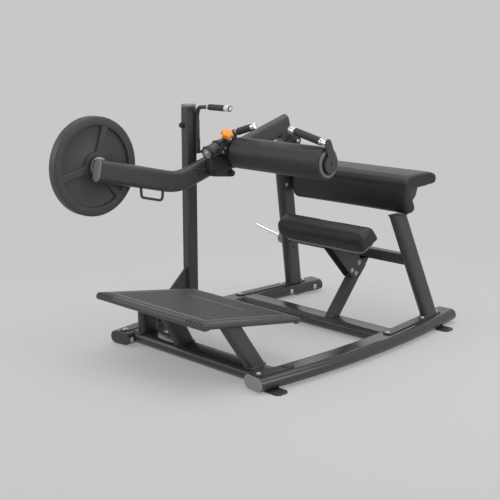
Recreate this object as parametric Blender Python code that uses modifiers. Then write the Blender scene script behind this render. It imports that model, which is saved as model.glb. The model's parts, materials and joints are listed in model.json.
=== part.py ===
# Glute machine: a plate-loaded hip thrust machine, built as its separate pieces.
# Metres, +Z up. The user sits with the back on the pad and looks along -Y, so left is +X.
# Machine coordinates have x = 0 between the rails, y = 0 at the tall post and z = 0 on the floor.
# The whole machine hangs on one empty that puts the row's origin under the middle of its box.

import bpy
import bmesh
from math import acos, asin, atan2, cos, hypot, pi, radians, sin, sqrt, tan
from mathutils import Matrix, Vector

X, Y, Z = Vector((1, 0, 0)), Vector((0, 1, 0)), Vector((0, 0, 1))

# Clearances
SEAT = 0.0003            # between pieces that rest on each other
RUNNING = 0.0003         # radial, between a turning piece and its bore

# Tube stock
WALL = 0.003
RAIL_W, RAIL_H = 0.120, 0.060
UPRIGHT_D, UPRIGHT_W = 0.104, 0.050
ARM_H, ARM_W = 0.100, 0.050
BAR_R = 0.0125           # handle bars

# Base
FOOT_T = 0.006
FOOT_REACH, FOOT_L, FOOT_HOLE_R = 0.045, 0.070, 0.006
RAIL_FRONT, RAIL_REAR = -0.460, 0.930
RAIL_END_X, RAIL_BOW = 0.430, 0.054
CAP_T, PLUG_L = 0.004, 0.012
FRONT_TUBE_Y, MIDDLE_TUBE_Y = -0.360, 0.420
FOOT_FRONT_Y, FOOT_REAR_Y = -0.400, 0.795

# Uprights, leaning forward and inward as they rise
UPRIGHT_X, UPRIGHT_Y = 0.445, 0.764
UPRIGHT_IN, UPRIGHT_FORWARD = 0.172, 0.322
SHOE_T, SHOE_W = 0.006, 0.046
LEFT_TOP_Z, RIGHT_TOP_Z = 0.574, 0.800
REAR_BAR_Z, REAR_BAR_H, REAR_BAR_D = 0.350, 0.050, 0.050

# Tall post with the release rod
POST_X, POST_W, POST_D, POST_R, POST_TOP = -0.445, 0.050, 0.060, 0.008, 1.076
POST_FOOT_L, POST_FOOT_T = 0.120, 0.006
POST_CAP_H = 0.014
GUSSET_T, GUSSET_LOW, GUSSET_HIGH = 0.010, 0.250, 0.300
BARREL_R, BARREL_Y, BARREL_BOTTOM, BARREL_DROP = 0.011, 0.022, 0.868, 0.076
CATCH_REACH, CATCH_T, BUMPER_R, BUMPER_H = 0.050, 0.012, 0.010, 0.008
LUG_T, LUG_L, LUG_PAST, LUG_WALL = 0.008, 0.030, 0.0025, 0.024
ROD_R, ROD_BEND_R = 0.0075, 0.050
RELEASE_Y, RELEASE_Z = -0.030, 1.087
RELEASE_GRIP_START, RELEASE_GRIP_END = -0.269, -0.165
RELEASE_GRIP_R, RELEASE_TIP = 0.0145, -0.132

# Foot platform
DECK_X, DECK_W, DECK_T, DECK_LIP = -0.010, 0.700, 0.026, 0.032
DECK_SKIN, SKIRT_T, DECK_EDGE = 0.006, 0.008, 0.009
DECK_FRONT, DECK_FRONT_Z = -0.650, 0.308
DECK_REAR, DECK_REAR_Z = -0.060, 0.212
RIB_COUNT, RIB_W, RIB_H, RIB_MARGIN = 9, 0.010, 0.003, 0.060
LEG_LEAN, LEG_RIGHT_LEAN = radians(30), radians(8)
LEG_LEFT_IN, LEG_RIGHT_IN = radians(12.5), radians(8.5)
LEG_MIDDLE_X = -0.100
LEG_D, LEG_W = 0.104, 0.050

# Seat and back
SEAT_X, SEAT_W, SEAT_FRONT, SEAT_DEPTH = 0.100, 0.530, 0.346, 0.124
SEAT_BASE_Z, SEAT_PAD_H, SEAT_TILT, BOARD_T = 0.428, 0.096, radians(24), 0.012
SEAT_ROUND, BACK_ROUND = 0.014, 0.012
SEAT_POST_X, SEAT_POST_W, SEAT_POST_D = 0.115, 0.050, 0.064
CHEEK_T = 0.005
BACK_X, BACK_W = 0.060, 0.720
BRACKET_T, BACK_BOARD_T, BOARD_INSET = 0.006, 0.012, 0.050

# Lever
ARM_X = -0.360
ARM_FRONT_Y, ARM_FRONT_Z = -0.614, 0.845
ARM_BEND_Y, ARM_BEND_Z, ARM_BEND_R = -0.155, 0.738, 0.260
ARM_REAR_Y, ARM_REAR_Z = 0.600, 0.961
PIVOT_Y, PIVOT_Z = 0.620, 0.872
SLEEVE_R, SLEEVE_BORE_R, AXLE_R = 0.035, 0.026, 0.0125
HOUSING_W, CROWN_T, RETAINER_R, RETAINER_T, BEARING_W = 0.026, 0.008, 0.018, 0.006, 0.015
LOOP_R, LOOP_DROP, LOOP_SPLAY, LOOP_BEND_R = 0.0065, 0.042, 0.004, 0.014
LOOP_FRONT_Y, LOOP_REAR_Y = -0.375, -0.245

# Weight plate on its horn
DISC_R, DISC_T, DISC_Y, DISC_Z = 0.220, 0.048, -0.585, 0.853
DISC_BORE_R, HORN_R, HORN_COLLAR_R, HORN_COLLAR_T = 0.0255, 0.0245, 0.045, 0.018
HORN_LENGTH = 0.158
RIM_W, HUB_R, WEB_T, SPOKE_W = 0.032, 0.060, 0.018, 0.050

# Carriage: it turns about a spindle that is parallel to the lever's rear half
HUB_X, HUB_Y, HUB_Z = -0.295, -0.012, 0.872
HUB_LENGTH, HUB_R_OUT, SPINDLE_R = 0.117, 0.0325, 0.022
PIN_R, PIN_ALONG, PIN_TILT, PIN_BITE = 0.005, 0.098, radians(37), 0.008
KNOB_R, KNOB_H, KNOB_LOW, BOSS_OUT = 0.031, 0.024, 0.029, 0.026
SWING = radians(75)      # travel of the carriage about the hub
ROLLER_Y, ROLLER_Z, ROLLER_R = 0.130, 0.864, 0.075
ROLLER_RIGHT, ROLLER_LEFT = -0.240, 0.312
RING_R, RING_T = 0.062, 0.008
SHAFT_R, FOAM_TUBE = 0.015, 0.010
MAST_TOP_R, MAST_FOOT_R = 0.0135, 0.015
LEFT_TIP, RIGHT_TIP = (0.090, 0.126, 1.000), (-0.113, 0.116, 1.000)
GRIP_T = 0.005
HOOK_T, HOOK_R, HOOK_TOP_Y, HOOK_TOP_Z, HOOK_TOP_R = 0.010, 0.041, 0.110, 0.958, 0.018

# Storage horn on the right upright
STORE_Z, STORE_FLANGE_R, STORE_FLANGE_T = 0.335, 0.036, 0.030
STORE_R, STORE_LENGTH, STORE_NOSE, STORE_TILT = 0.0125, 0.190, 0.006, radians(12)

# Derived places
RAIL_Z = FOOT_T + RAIL_H / 2
RAIL_TOP = FOOT_T + RAIL_H
RAIL_MID_Y = (RAIL_FRONT + RAIL_REAR) / 2
RAIL_HALF = (RAIL_REAR - RAIL_FRONT) / 2
RAIL_ARC_R = (RAIL_HALF ** 2 + RAIL_BOW ** 2) / (2 * RAIL_BOW)
PITCH = atan2(ARM_REAR_Z - ARM_BEND_Z, ARM_REAR_Y - ARM_BEND_Y)
HUB_AXIS = Vector((0, cos(PITCH), sin(PITCH)))
HUB_UP = Vector((0, -sin(PITCH), cos(PITCH)))
HUB_FRONT = Vector((HUB_X, HUB_Y, HUB_Z))
ARM_FACE = ARM_X + ARM_W / 2
BARREL_X = POST_X + POST_W / 2 + BARREL_R + SEAT
BARREL_TOP = RELEASE_Z - BARREL_DROP
LEG_LEFT_X, LEG_RIGHT_X = DECK_X + DECK_W / 2, DECK_X - DECK_W / 2 + 0.010


def rail_x(y):
    """Centre line of a bowed rail, measured from the machine's mid-plane."""
    return RAIL_END_X + RAIL_BOW - RAIL_ARC_R + sqrt(RAIL_ARC_R ** 2 - (y - RAIL_MID_Y) ** 2)


OUTER_X = rail_x(FOOT_REAR_Y) + RAIL_W / 2 + FOOT_REACH
STORE_ROOT_X = -(UPRIGHT_X - UPRIGHT_IN * (STORE_Z - RAIL_TOP) + UPRIGHT_W / 2)
STORE_TIP_X = STORE_ROOT_X - (STORE_FLANGE_T + STORE_LENGTH + STORE_NOSE) * cos(STORE_TILT)
RAIL_TOE = asin(RAIL_HALF / RAIL_ARC_R)
REAR_REACH = RAIL_REAR + CAP_T + RAIL_W / 2 * sin(RAIL_TOE)
ROW_X = -(OUTER_X + STORE_TIP_X) / 2
ROW_Y = -(REAR_REACH + DISC_Y - DISC_R) / 2

# Scene, collections and empties

for old in list(bpy.data.objects):
    bpy.data.objects.remove(old, do_unlink=True)

machine = bpy.data.collections.new("glute_machine")
cutters = bpy.data.collections.new("glute_machine_cutters")
bpy.context.scene.collection.children.link(machine)
bpy.context.scene.collection.children.link(cutters)


def empty(name, place, parent=None):
    obj = bpy.data.objects.new(name, None)
    obj.location = place
    obj.parent = parent
    machine.objects.link(obj)
    return obj


ORIGIN = empty("row_origin", (ROW_X, ROW_Y, 0))
JOINTS = {
    "frame": (0, 0, 0),
    "lever": (ARM_X, PIVOT_Y, PIVOT_Z),
    "carriage": tuple(HUB_FRONT),
    "roller": (HUB_X, ROLLER_Y, ROLLER_Z),
    "pop_pin": tuple(HUB_FRONT + HUB_AXIS * PIN_ALONG),
    "release": (BARREL_X, BARREL_Y, BARREL_BOTTOM),
    "weight": (ARM_X, DISC_Y, DISC_Z),
}
HOLDERS = {name: empty(name + "_axis", place, ORIGIN) for name, place in JOINTS.items()}


def material(name, color, roughness, metallic=0.0):
    made = bpy.data.materials.new(name)
    made.use_nodes = True
    shader = made.node_tree.nodes["Principled BSDF"]
    shader.inputs["Base Color"].default_value = (*color, 1)
    shader.inputs["Roughness"].default_value = roughness
    shader.inputs["Metallic"].default_value = metallic
    return made


COAT = material("charcoal_coat", (0.052, 0.053, 0.055), 0.42, 0.3)
VINYL = material("black_vinyl", (0.028, 0.028, 0.03), 0.5)
CHROME = material("chrome", (0.8, 0.8, 0.8), 0.12, 1.0)
GREY_CAP = material("grey_cap", (0.24, 0.24, 0.25), 0.5)
RUBBER = material("black_rubber", (0.02, 0.02, 0.021), 0.7)
ORANGE = material("orange_knob", (0.85, 0.32, 0.03), 0.4)
IRON = material("grey_iron", (0.11, 0.113, 0.118), 0.55, 0.4)
STEEL = material("bright_steel", (0.55, 0.55, 0.56), 0.3, 1.0)

# Outlines

def arc(cx, cy, r, start, end, steps):
    return [(cx + r * cos(start + (end - start) * i / steps), cy + r * sin(start + (end - start) * i / steps))
            for i in range(steps + 1)]


def circle(r, steps=24, cx=0.0, cy=0.0):
    return arc(cx, cy, r, 0, 2 * pi, steps)[:-1]


def rounded(w, h, r, steps=3):
    """A rectangle with round corners, centred on the origin; a flat oval when r is half its height."""
    loop = []
    for sx, sy, start in ((1, 1, 0), (-1, 1, pi / 2), (-1, -1, pi), (1, -1, 3 * pi / 2)):
        loop += arc(sx * (w / 2 - r), sy * (h / 2 - r), r, start, start + pi / 2, steps)
    return tidy(loop)


def tidy(loop):
    """The loop without points that fall on the one before."""
    kept = [p for i, p in enumerate(loop) if hypot(p[0] - loop[i - 1][0], p[1] - loop[i - 1][1]) > 1e-5]
    return kept


def oval(w, h, steps=4):
    return rounded(w, h, min(w, h) / 2, steps)


def oval_tube(w, h):
    return [oval(w, h), oval(w - 2 * WALL, h - 2 * WALL)]


def box_tube(w, h, r):
    return [rounded(w, h, r, 3), rounded(w - 2 * WALL, h - 2 * WALL, r - WALL, 2)]


def hull(points):
    """The convex outline round some points, anticlockwise."""
    points = sorted(set(points))
    sides = []
    for run in (points, points[::-1]):
        side = []
        for p in run:
            while len(side) > 1:
                (ax, ay), (bx, by) = side[-2], side[-1]
                if (bx - ax) * (p[1] - ay) - (by - ay) * (p[0] - ax) > 1e-9:
                    break
                side.pop()
            side.append(p)
        sides += side[:-1]
    return sides


def bent(points, radius, steps=6):
    """A path through the points with each inner corner turned into an arc."""
    points = [Vector(p) for p in points]
    path = [points[0]]
    for before, corner, after in zip(points, points[1:], points[2:]):
        a, b = (before - corner).normalized(), (after - corner).normalized()
        half = acos(max(-1, min(1, a.dot(b)))) / 2
        reach = radius / tan(half)
        centre = corner + (a + b).normalized() * radius / sin(half)
        start, end = corner + a * reach, corner + b * reach
        turn = (start - centre).angle(end - centre)
        u = (start - centre).normalized()
        v = (end - centre - u * (end - centre).dot(u)).normalized()
        path += [centre + (u * cos(turn * i / steps) + v * sin(turn * i / steps)) * radius
                 for i in range(steps + 1)]
    return path + [points[-1]]


# Solids

def part(name, mesh, finish, body="frame"):
    """A finished piece: its mesh is in machine coordinates and moves to its body's axis."""
    place = Vector(JOINTS[body])
    mesh.transform(Matrix.Translation(-place))
    mesh.materials.clear()
    mesh.materials.append(finish)
    mesh.shade_smooth()
    mesh.set_sharp_from_angle(angle=radians(35))
    obj = bpy.data.objects.new(name, mesh)
    obj.parent = HOLDERS[body]
    machine.objects.link(obj)
    return obj


def cutter(mesh, body="frame"):
    """A guide that only cuts or joins: it is never built as a piece."""
    mesh.transform(Matrix.Translation(-Vector(JOINTS[body])))
    obj = bpy.data.objects.new("cutter", mesh)
    obj.parent = HOLDERS[body]
    obj.hide_render = True
    obj.display_type = "WIRE"
    cutters.objects.link(obj)
    return obj


def combine(obj, tools, operation, body="frame"):
    for mesh in tools:
        step = obj.modifiers.new(operation.lower(), "BOOLEAN")
        step.operation = operation
        step.solver = "EXACT"
        step.object = cutter(mesh, body)
    return obj


def curve_mesh(curve):
    """A curve as a closed mesh with its caps welded on."""
    obj = bpy.data.objects.new("curve", curve)
    bpy.context.scene.collection.objects.link(obj)
    bpy.context.view_layer.update()
    mesh = bpy.data.meshes.new_from_object(obj.evaluated_get(bpy.context.evaluated_depsgraph_get()))
    bpy.data.objects.remove(obj)
    work = bmesh.new()
    work.from_mesh(mesh)
    bmesh.ops.remove_doubles(work, verts=work.verts, dist=1e-6)
    work.to_mesh(mesh)
    work.free()
    return mesh


def extruded(loops, start, end, across, up, chamfer=0.0):
    """Flat outlines, holes included, carried from start to end; across and up place the outline's x and y."""
    curve = bpy.data.curves.new("outline", "CURVE")
    curve.dimensions = "2D"
    curve.fill_mode = "BOTH"
    curve.extrude = 0.5
    for loop in loops:
        spline = curve.splines.new("POLY")
        spline.points.add(len(loop) - 1)
        for point, (px, py) in zip(spline.points, loop):
            point.co = (px, py, 0, 1)
        spline.use_cyclic_u = True
    mesh = curve_mesh(curve)
    start, end = Vector(start), Vector(end)
    run = end - start
    place = Matrix.Identity(4)
    for column, vector in enumerate((Vector(across), Vector(up), run)):
        for row in range(3):
            place[row][column] = vector[row]
    place.translation = (start + end) / 2
    mesh.transform(place)
    outward(mesh)
    if chamfer:
        bevel_rims(mesh, run, chamfer)
    return mesh


def outward(mesh):
    work = bmesh.new()
    work.from_mesh(mesh)
    bmesh.ops.recalc_face_normals(work, faces=work.faces)
    work.to_mesh(mesh)
    work.free()


def bevel_rims(mesh, run, width):
    """Round the rims where the flat ends meet the sides."""
    work = bmesh.new()
    work.from_mesh(mesh)
    bmesh.ops.dissolve_limit(work, angle_limit=radians(1), verts=work.verts, edges=work.edges)
    axis = run.normalized()
    rims = [e for e in work.edges if len(e.link_faces) == 2
            and sorted(abs(f.normal.dot(axis)) > 0.9 for f in e.link_faces) == [False, True]]
    bmesh.ops.bevel(work, geom=rims, offset=width, segments=1, profile=0.5, affect="EDGES", material=-1)
    work.to_mesh(mesh)
    work.free()


def rod(start, end, r, steps=20):
    """A round bar between two points, made from a cylinder primitive."""
    start, end = Vector(start), Vector(end)
    work = bmesh.new()
    bmesh.ops.create_cone(work, cap_ends=True, segments=steps, radius1=r, radius2=r,
                          depth=(end - start).length)
    turn = (end - start).to_track_quat("Z", "Y").to_matrix().to_4x4()
    bmesh.ops.transform(work, matrix=Matrix.Translation((start + end) / 2) @ turn, verts=work.verts)
    mesh = bpy.data.meshes.new("rod")
    work.to_mesh(mesh)
    work.free()
    return mesh


def pipe(start, end, r, bore, steps=24):
    """A round bar with a hole right through it."""
    axis = (Vector(end) - Vector(start)).normalized()
    across = axis.orthogonal().normalized()
    return extruded([circle(r, steps), circle(bore, steps)], start, end, across, axis.cross(across))


def block(low, high):
    work = bmesh.new()
    bmesh.ops.create_cube(work, size=1)
    low, high = Vector(low), Vector(high)
    size = Matrix.Diagonal((*(high - low), 1))
    bmesh.ops.transform(work, matrix=Matrix.Translation((low + high) / 2) @ size, verts=work.verts)
    mesh = bpy.data.meshes.new("block")
    work.to_mesh(mesh)
    work.free()
    return mesh


def wire(points, r, resolution=2):
    """A round bar along a path."""
    curve = bpy.data.curves.new("wire", "CURVE")
    curve.dimensions = "3D"
    curve.bevel_depth = r
    curve.bevel_resolution = resolution
    curve.use_fill_caps = True
    curve.render_resolution_u = 0
    spline = curve.splines.new("POLY")
    spline.points.add(len(points) - 1)
    for point, place in zip(spline.points, points):
        point.co = (*place, 1)
    mesh = curve_mesh(curve)
    outward(mesh)
    return mesh


def swept(points, section, caps=True):
    """A tube section carried along a path, kept upright."""
    profile = bpy.data.curves.new("section", "CURVE")
    profile.dimensions = "2D"
    loop = profile.splines.new("POLY")
    loop.points.add(len(section) - 1)
    for point, (px, py) in zip(loop.points, section):
        point.co = (px, py, 0, 1)
    loop.use_cyclic_u = True
    holder = bpy.data.objects.new("section", profile)
    bpy.context.scene.collection.objects.link(holder)
    curve = bpy.data.curves.new("path", "CURVE")
    curve.dimensions = "3D"
    curve.twist_mode = "Z_UP"
    curve.bevel_mode = "OBJECT"
    curve.bevel_object = holder
    curve.use_fill_caps = caps
    curve.render_resolution_u = 0
    spline = curve.splines.new("POLY")
    spline.points.add(len(points) - 1)
    for point, place in zip(spline.points, points):
        point.co = (*place, 1)
    mesh = curve_mesh(curve)
    bpy.data.objects.remove(holder)
    outward(mesh)
    return mesh


def hollow(obj):
    """Gives an open tube surface its wall, inwards."""
    wall = obj.modifiers.new("wall", "SOLIDIFY")
    wall.thickness = WALL
    wall.offset = -1
    wall.use_even_offset = True
    return obj


def turned(profile, centre, axis, steps=32):
    """A profile of (radius, height) points, top to bottom, turned about an axis through the centre."""
    mesh = bpy.data.meshes.new("turned")
    work = bmesh.new()
    rim = [work.verts.new((r, 0, h)) for r, h in profile]
    for a, b in zip(rim, rim[1:]):
        work.edges.new((a, b))
    bmesh.ops.spin(work, geom=work.verts[:] + work.edges[:], cent=(0, 0, 0), axis=(0, 0, 1),
                   angle=2 * pi, steps=steps, use_merge=True)
    bmesh.ops.remove_doubles(work, verts=work.verts, dist=1e-6)
    turn = Vector(axis).to_track_quat("Z", "Y").to_matrix().to_4x4()
    bmesh.ops.transform(work, matrix=Matrix.Translation(Vector(centre)) @ turn, verts=work.verts)
    bmesh.ops.recalc_face_normals(work, faces=work.faces)
    work.to_mesh(mesh)
    work.free()
    return mesh


def tapered(profile, stations):
    """A side outline of (y, z) points carried along X; a station is (x, inset) and draws the outline in."""
    work = bmesh.new()
    mid_y = sum(p[0] for p in profile) / len(profile)
    mid_z = sum(p[1] for p in profile) / len(profile)
    reach_y = max(abs(p[0] - mid_y) for p in profile)
    reach_z = max(abs(p[1] - mid_z) for p in profile)

    def ring(x, inset):
        return [work.verts.new((x, mid_y + (py - mid_y) * (1 - inset / reach_y),
                                mid_z + (pz - mid_z) * (1 - inset / reach_z))) for py, pz in profile]

    face = work.faces.new(ring(*stations[0]))
    for step, ((here, inset), (there, drawn)) in enumerate(zip(stations, stations[1:])):
        grown = bmesh.ops.extrude_face_region(work, geom=[face])["geom"]
        if step:
            bmesh.ops.delete(work, geom=[face], context="FACES_ONLY")
        verts = [item for item in grown if isinstance(item, bmesh.types.BMVert)]
        face = next(item for item in grown if isinstance(item, bmesh.types.BMFace))
        ratio = (1, (1 - drawn / reach_y) / (1 - inset / reach_y),
                 (1 - drawn / reach_z) / (1 - inset / reach_z))
        bmesh.ops.translate(work, vec=(there - here, 0, 0), verts=verts)
        bmesh.ops.scale(work, vec=ratio, space=Matrix.Translation((-there, -mid_y, -mid_z)), verts=verts)
    bmesh.ops.recalc_face_normals(work, faces=work.faces)
    mesh = bpy.data.meshes.new("tapered")
    work.to_mesh(mesh)
    work.free()
    return mesh


def joined(name, finish, meshes, body="frame"):
    """Welded pieces made one solid."""
    obj = part(name, meshes[0], finish, body)
    return combine(obj, meshes[1:], "UNION", body)


# Base frame

def rail_path(side, extra=0.0, steps=9):
    ys = [RAIL_FRONT - extra + (RAIL_REAR - RAIL_FRONT + 2 * extra) * i / steps for i in range(steps + 1)]
    return [(side * rail_x(y), y, RAIL_Z) for y in ys]


def rail_cutter(side):
    """A rail grown by the seat clearance, to cope what is welded to its side."""
    return swept(rail_path(side, 0.02), oval(RAIL_W + 2 * SEAT, RAIL_H + 2 * SEAT))


SIDES = {"left": 1, "right": -1}


def rail(word):
    obj = part("rail_" + word, swept(rail_path(SIDES[word]), oval(RAIL_W, RAIL_H), caps=False), COAT)
    return hollow(obj)


def rail_cap(word, end):
    """A moulded plug: its rim covers the tube's end and its core seats in the bore."""
    path = [Vector(p) for p in rail_path(SIDES[word])]
    last, before = (path[0], path[1]) if end == "front" else (path[-1], path[-2])
    along = (last - before).normalized()
    across = along.cross(Z)
    face = last + along * SEAT
    rim = extruded([oval(RAIL_W, RAIL_H)], face, face + along * CAP_T, across, Z, 0.0015)
    bore = 2 * (WALL + SEAT)
    core = extruded([oval(RAIL_W - bore, RAIL_H - bore)], face - along * PLUG_L, face + along * CAP_T / 2,
                    across, Z)
    return joined("rail_cap_%s_%s" % (word, end), GREY_CAP, [rim, core])


def foot(word, end, y):
    """A floor plate under the rail; its outer end stands clear and has the anchor hole."""
    side = SIDES[word]
    inner = rail_x(y) - RAIL_W / 4
    outer = rail_x(y) + RAIL_W / 2 + FOOT_REACH
    corner = FOOT_L / 5
    low, high = y - FOOT_L / 2, y + FOOT_L / 2
    outline = [(inner, low), (outer - corner, low), (outer, low + corner), (outer, high - corner),
               (outer - corner, high), (inner, high)]
    hole = circle(FOOT_HOLE_R, 16, outer - FOOT_REACH / 2, y)
    mesh = extruded([outline, hole], (0, 0, 0), (0, 0, FOOT_T - SEAT), (side, 0, 0), Y)
    return part("foot_%s_%s" % (word, end), mesh, COAT)


def cross_tube(name, y):
    """A flat oval tube between the rails, coped round both."""
    reach = rail_x(y)
    mesh = extruded(oval_tube(RAIL_W, RAIL_H), (-reach, y, RAIL_Z), (reach, y, RAIL_Z), Y, Z)
    return combine(part(name, mesh, COAT), [rail_cutter(1), rail_cutter(-1)], "DIFFERENCE")


for word in SIDES:
    rail(word)
    rail_cap(word, "front")
    rail_cap(word, "rear")
    foot(word, "front", FOOT_FRONT_Y)
    foot(word, "rear", FOOT_REAR_Y)
cross_tube("front_cross_tube", FRONT_TUBE_Y)
cross_tube("middle_cross_tube", MIDDLE_TUBE_Y)

# Uprights

def upright_point(side, z):
    rise = z - RAIL_TOP
    return Vector((side * (UPRIGHT_X - UPRIGHT_IN * rise), UPRIGHT_Y - UPRIGHT_FORWARD * rise, z))


def shoe(side):
    """The long plate that carries an upright, along the rail's flat top to the middle cross tube."""
    front, rear = MIDDLE_TUBE_Y - RAIL_W / 2, UPRIGHT_Y + UPRIGHT_D / 2 + 0.03
    start, end = Vector((side * rail_x(front), front, 0)), Vector((side * rail_x(rear), rear, 0))
    along = (end - start).normalized()
    middle = (start + end) / 2
    outline = rounded((end - start).length, SHOE_W, SHOE_W * 0.45)
    low, high = middle + Z * (RAIL_TOP + SEAT), middle + Z * (RAIL_TOP + SHOE_T)
    return extruded([outline], low, high, along, Z.cross(along))


def upright_tube(side, top):
    low, high = upright_point(side, RAIL_TOP + SHOE_T / 2), upright_point(side, top)
    return extruded(oval_tube(UPRIGHT_W, UPRIGHT_D), low, high, X, Y)


def upright_cutter(side, top):
    low, high = upright_point(side, RAIL_TOP), upright_point(side, top)
    return extruded([oval(UPRIGHT_W + 2 * SEAT, UPRIGHT_D + 2 * SEAT)], low, high, X, Y)


joined("upright_left", COAT, [shoe(1), upright_tube(1, LEFT_TOP_Z)])
joined("upright_right", COAT, [shoe(-1), upright_tube(-1, RIGHT_TOP_Z)])

bar_right, bar_left = upright_point(-1, REAR_BAR_Z), upright_point(1, REAR_BAR_Z)
bar_mesh = extruded(box_tube(REAR_BAR_D, REAR_BAR_H, 0.006), bar_right, bar_left, Y, Z)
combine(part("rear_cross_bar", bar_mesh, COAT), [upright_cutter(side, LEFT_TOP_Z) for side in (1, -1)],
        "DIFFERENCE")

# Pivot housing on the right upright, and the axle with its bearings

upright_top = upright_point(-1, RIGHT_TOP_Z)
housing_left = ARM_FACE + 0.002
housing_x = housing_left + HOUSING_W / 2
seat_z = RIGHT_TOP_Z + SEAT
crown = extruded([rounded(UPRIGHT_W + 0.012, UPRIGHT_D + 0.012, 0.012)],
                 (housing_x, upright_top.y, seat_z), (housing_x, upright_top.y, seat_z + CROWN_T), X, Y)
web_foot = [(upright_top.y - 0.035, seat_z + CROWN_T / 4), (upright_top.y + 0.045, seat_z + CROWN_T / 4)]
web_outline = hull([(y + PIVOT_Y, z + PIVOT_Z) for y, z in circle(SLEEVE_R * 0.9)] + web_foot)
web = extruded([web_outline], (housing_x - CROWN_T, 0, 0), (housing_x + CROWN_T, 0, 0), Y, Z)
barrel = rod((housing_left, PIVOT_Y, PIVOT_Z), (housing_left + HOUSING_W, PIVOT_Y, PIVOT_Z), SLEEVE_R, 32)
pivot_housing = joined("pivot_housing", COAT, [crown, web, barrel])
axle_hole = rod((housing_left - 0.01, PIVOT_Y, PIVOT_Z), (housing_left + HOUSING_W + 0.01, PIVOT_Y, PIVOT_Z),
                AXLE_R + SEAT, 24)
combine(pivot_housing, [axle_hole], "DIFFERENCE")

axle_left = ARM_X - ARM_W / 2 - SEAT
axle_right = housing_left + HOUSING_W + SEAT
head = [rod((start, PIVOT_Y, PIVOT_Z), (start + RETAINER_T, PIVOT_Y, PIVOT_Z), RETAINER_R, 28)
        for start in (axle_left - RETAINER_T, axle_right)]
axle = rod((axle_left - RETAINER_T / 2, PIVOT_Y, PIVOT_Z), (axle_right + RETAINER_T / 2, PIVOT_Y, PIVOT_Z),
           AXLE_R, 24)
joined("pivot_axle", STEEL, [axle] + head)

for word, side in (("outer", -1), ("inner", 1)):
    outside = ARM_X + side * (ARM_W / 2 - 0.001)
    inside = outside - side * BEARING_W
    mesh = pipe((outside, PIVOT_Y, PIVOT_Z), (inside, PIVOT_Y, PIVOT_Z), SLEEVE_BORE_R - SEAT, AXLE_R + RUNNING)
    part("pivot_bearing_" + word, mesh, STEEL, "lever")

# Tall post, its cap and the barrel of the release rod

post_seat = RAIL_TOP + SEAT
post_foot = extruded([rounded(POST_FOOT_L, RAIL_H, 0.008)], (POST_X - 0.012, 0, post_seat),
                     (POST_X - 0.012, 0, post_seat + POST_FOOT_T), Y, X)
post_tube = extruded(box_tube(POST_W, POST_D, POST_R), (POST_X, 0, post_seat + POST_FOOT_T / 2),
                     (POST_X, 0, POST_TOP), X, Y)
gusset_foot = -POST_D / 2 - GUSSET_LOW
gusset_outline = [(-POST_D / 2 + 0.001, GUSSET_HIGH), (-POST_D / 2 + 0.001, post_seat + POST_FOOT_T / 2),
                  (gusset_foot, post_seat), (gusset_foot, post_seat + 0.012)]
gusset = extruded([gusset_outline], (POST_X - GUSSET_T / 2, 0, 0), (POST_X + GUSSET_T / 2, 0, 0), Y, Z)
joined("tall_post", COAT, [post_foot, post_tube, gusset])

cap_low = POST_TOP + SEAT
cap_high = cap_low + POST_CAP_H
cap = extruded([rounded(POST_W, POST_D, POST_R)], (POST_X, 0, cap_low), (POST_X, 0, cap_high), X, Y, 0.005)
cap_inside = 2 * (WALL + SEAT)
core = extruded([rounded(POST_W - cap_inside, POST_D - cap_inside, POST_R - WALL, 2)],
                (POST_X, 0, cap_low - PLUG_L), (POST_X, 0, cap_low + POST_CAP_H / 2), X, Y)
joined("post_cap", GREY_CAP, [cap, core])

rod_bore = ROD_R + RUNNING
part("release_barrel", pipe((BARREL_X, BARREL_Y, BARREL_BOTTOM), (BARREL_X, BARREL_Y, BARREL_TOP), BARREL_R,
                            rod_bore, 20), COAT)

# Release rod: it turns in the barrel, and its arm carries the lever at rest

catch_high = BARREL_BOTTOM - SEAT
catch_low = catch_high - CATCH_T
rod_path = bent([(BARREL_X, BARREL_Y, catch_low), (BARREL_X, BARREL_Y, RELEASE_Z - 0.012),
                 (RELEASE_GRIP_START - 0.01, RELEASE_Y, RELEASE_Z), (RELEASE_TIP, RELEASE_Y, RELEASE_Z)], ROD_BEND_R)
collar = rod((BARREL_X, BARREL_Y, BARREL_TOP + SEAT), (BARREL_X, BARREL_Y, BARREL_TOP + 0.010), BARREL_R)
tip = rod((RELEASE_GRIP_END + SEAT, RELEASE_Y, RELEASE_Z), (RELEASE_TIP, RELEASE_Y, RELEASE_Z),
          RELEASE_GRIP_R * 0.95)
catch_y = BARREL_Y + CATCH_REACH
catch_outline = hull(circle(BARREL_R * 0.6, 12, BARREL_X, BARREL_Y) + circle(BUMPER_R, 16, BARREL_X, catch_y))
catch = extruded([catch_outline], (0, 0, catch_low), (0, 0, catch_high), X, Y)
thrust = rod((BARREL_X, BARREL_Y, catch_low), (BARREL_X, BARREL_Y, catch_high), BARREL_R)
joined("release_rod", COAT, [wire(rod_path, ROD_R), collar, tip], "release")
grip_bore = ROD_R + SEAT
catch_arm = joined("catch_arm", COAT, [thrust, catch], "release")
rod_hole = rod((BARREL_X, BARREL_Y, catch_low - 0.01), (BARREL_X, BARREL_Y, catch_high + 0.01), grip_bore)
combine(catch_arm, [rod_hole], "DIFFERENCE", "release")
part("release_grip", pipe((RELEASE_GRIP_START, RELEASE_Y, RELEASE_Z), (RELEASE_GRIP_END, RELEASE_Y, RELEASE_Z),
                          RELEASE_GRIP_R, grip_bore, 20), RUBBER, "release")
bumper_low = catch_high + SEAT
part("catch_bumper", rod((BARREL_X, catch_y, bumper_low), (BARREL_X, catch_y, bumper_low + BUMPER_H), BUMPER_R),
     RUBBER, "release")

# Lever

def arm_path():
    points = [(ARM_X, ARM_FRONT_Y, ARM_FRONT_Z), (ARM_X, ARM_BEND_Y, ARM_BEND_Z),
              (ARM_X, ARM_REAR_Y, ARM_REAR_Z)]
    return bent(points, ARM_BEND_R, 8)


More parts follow.
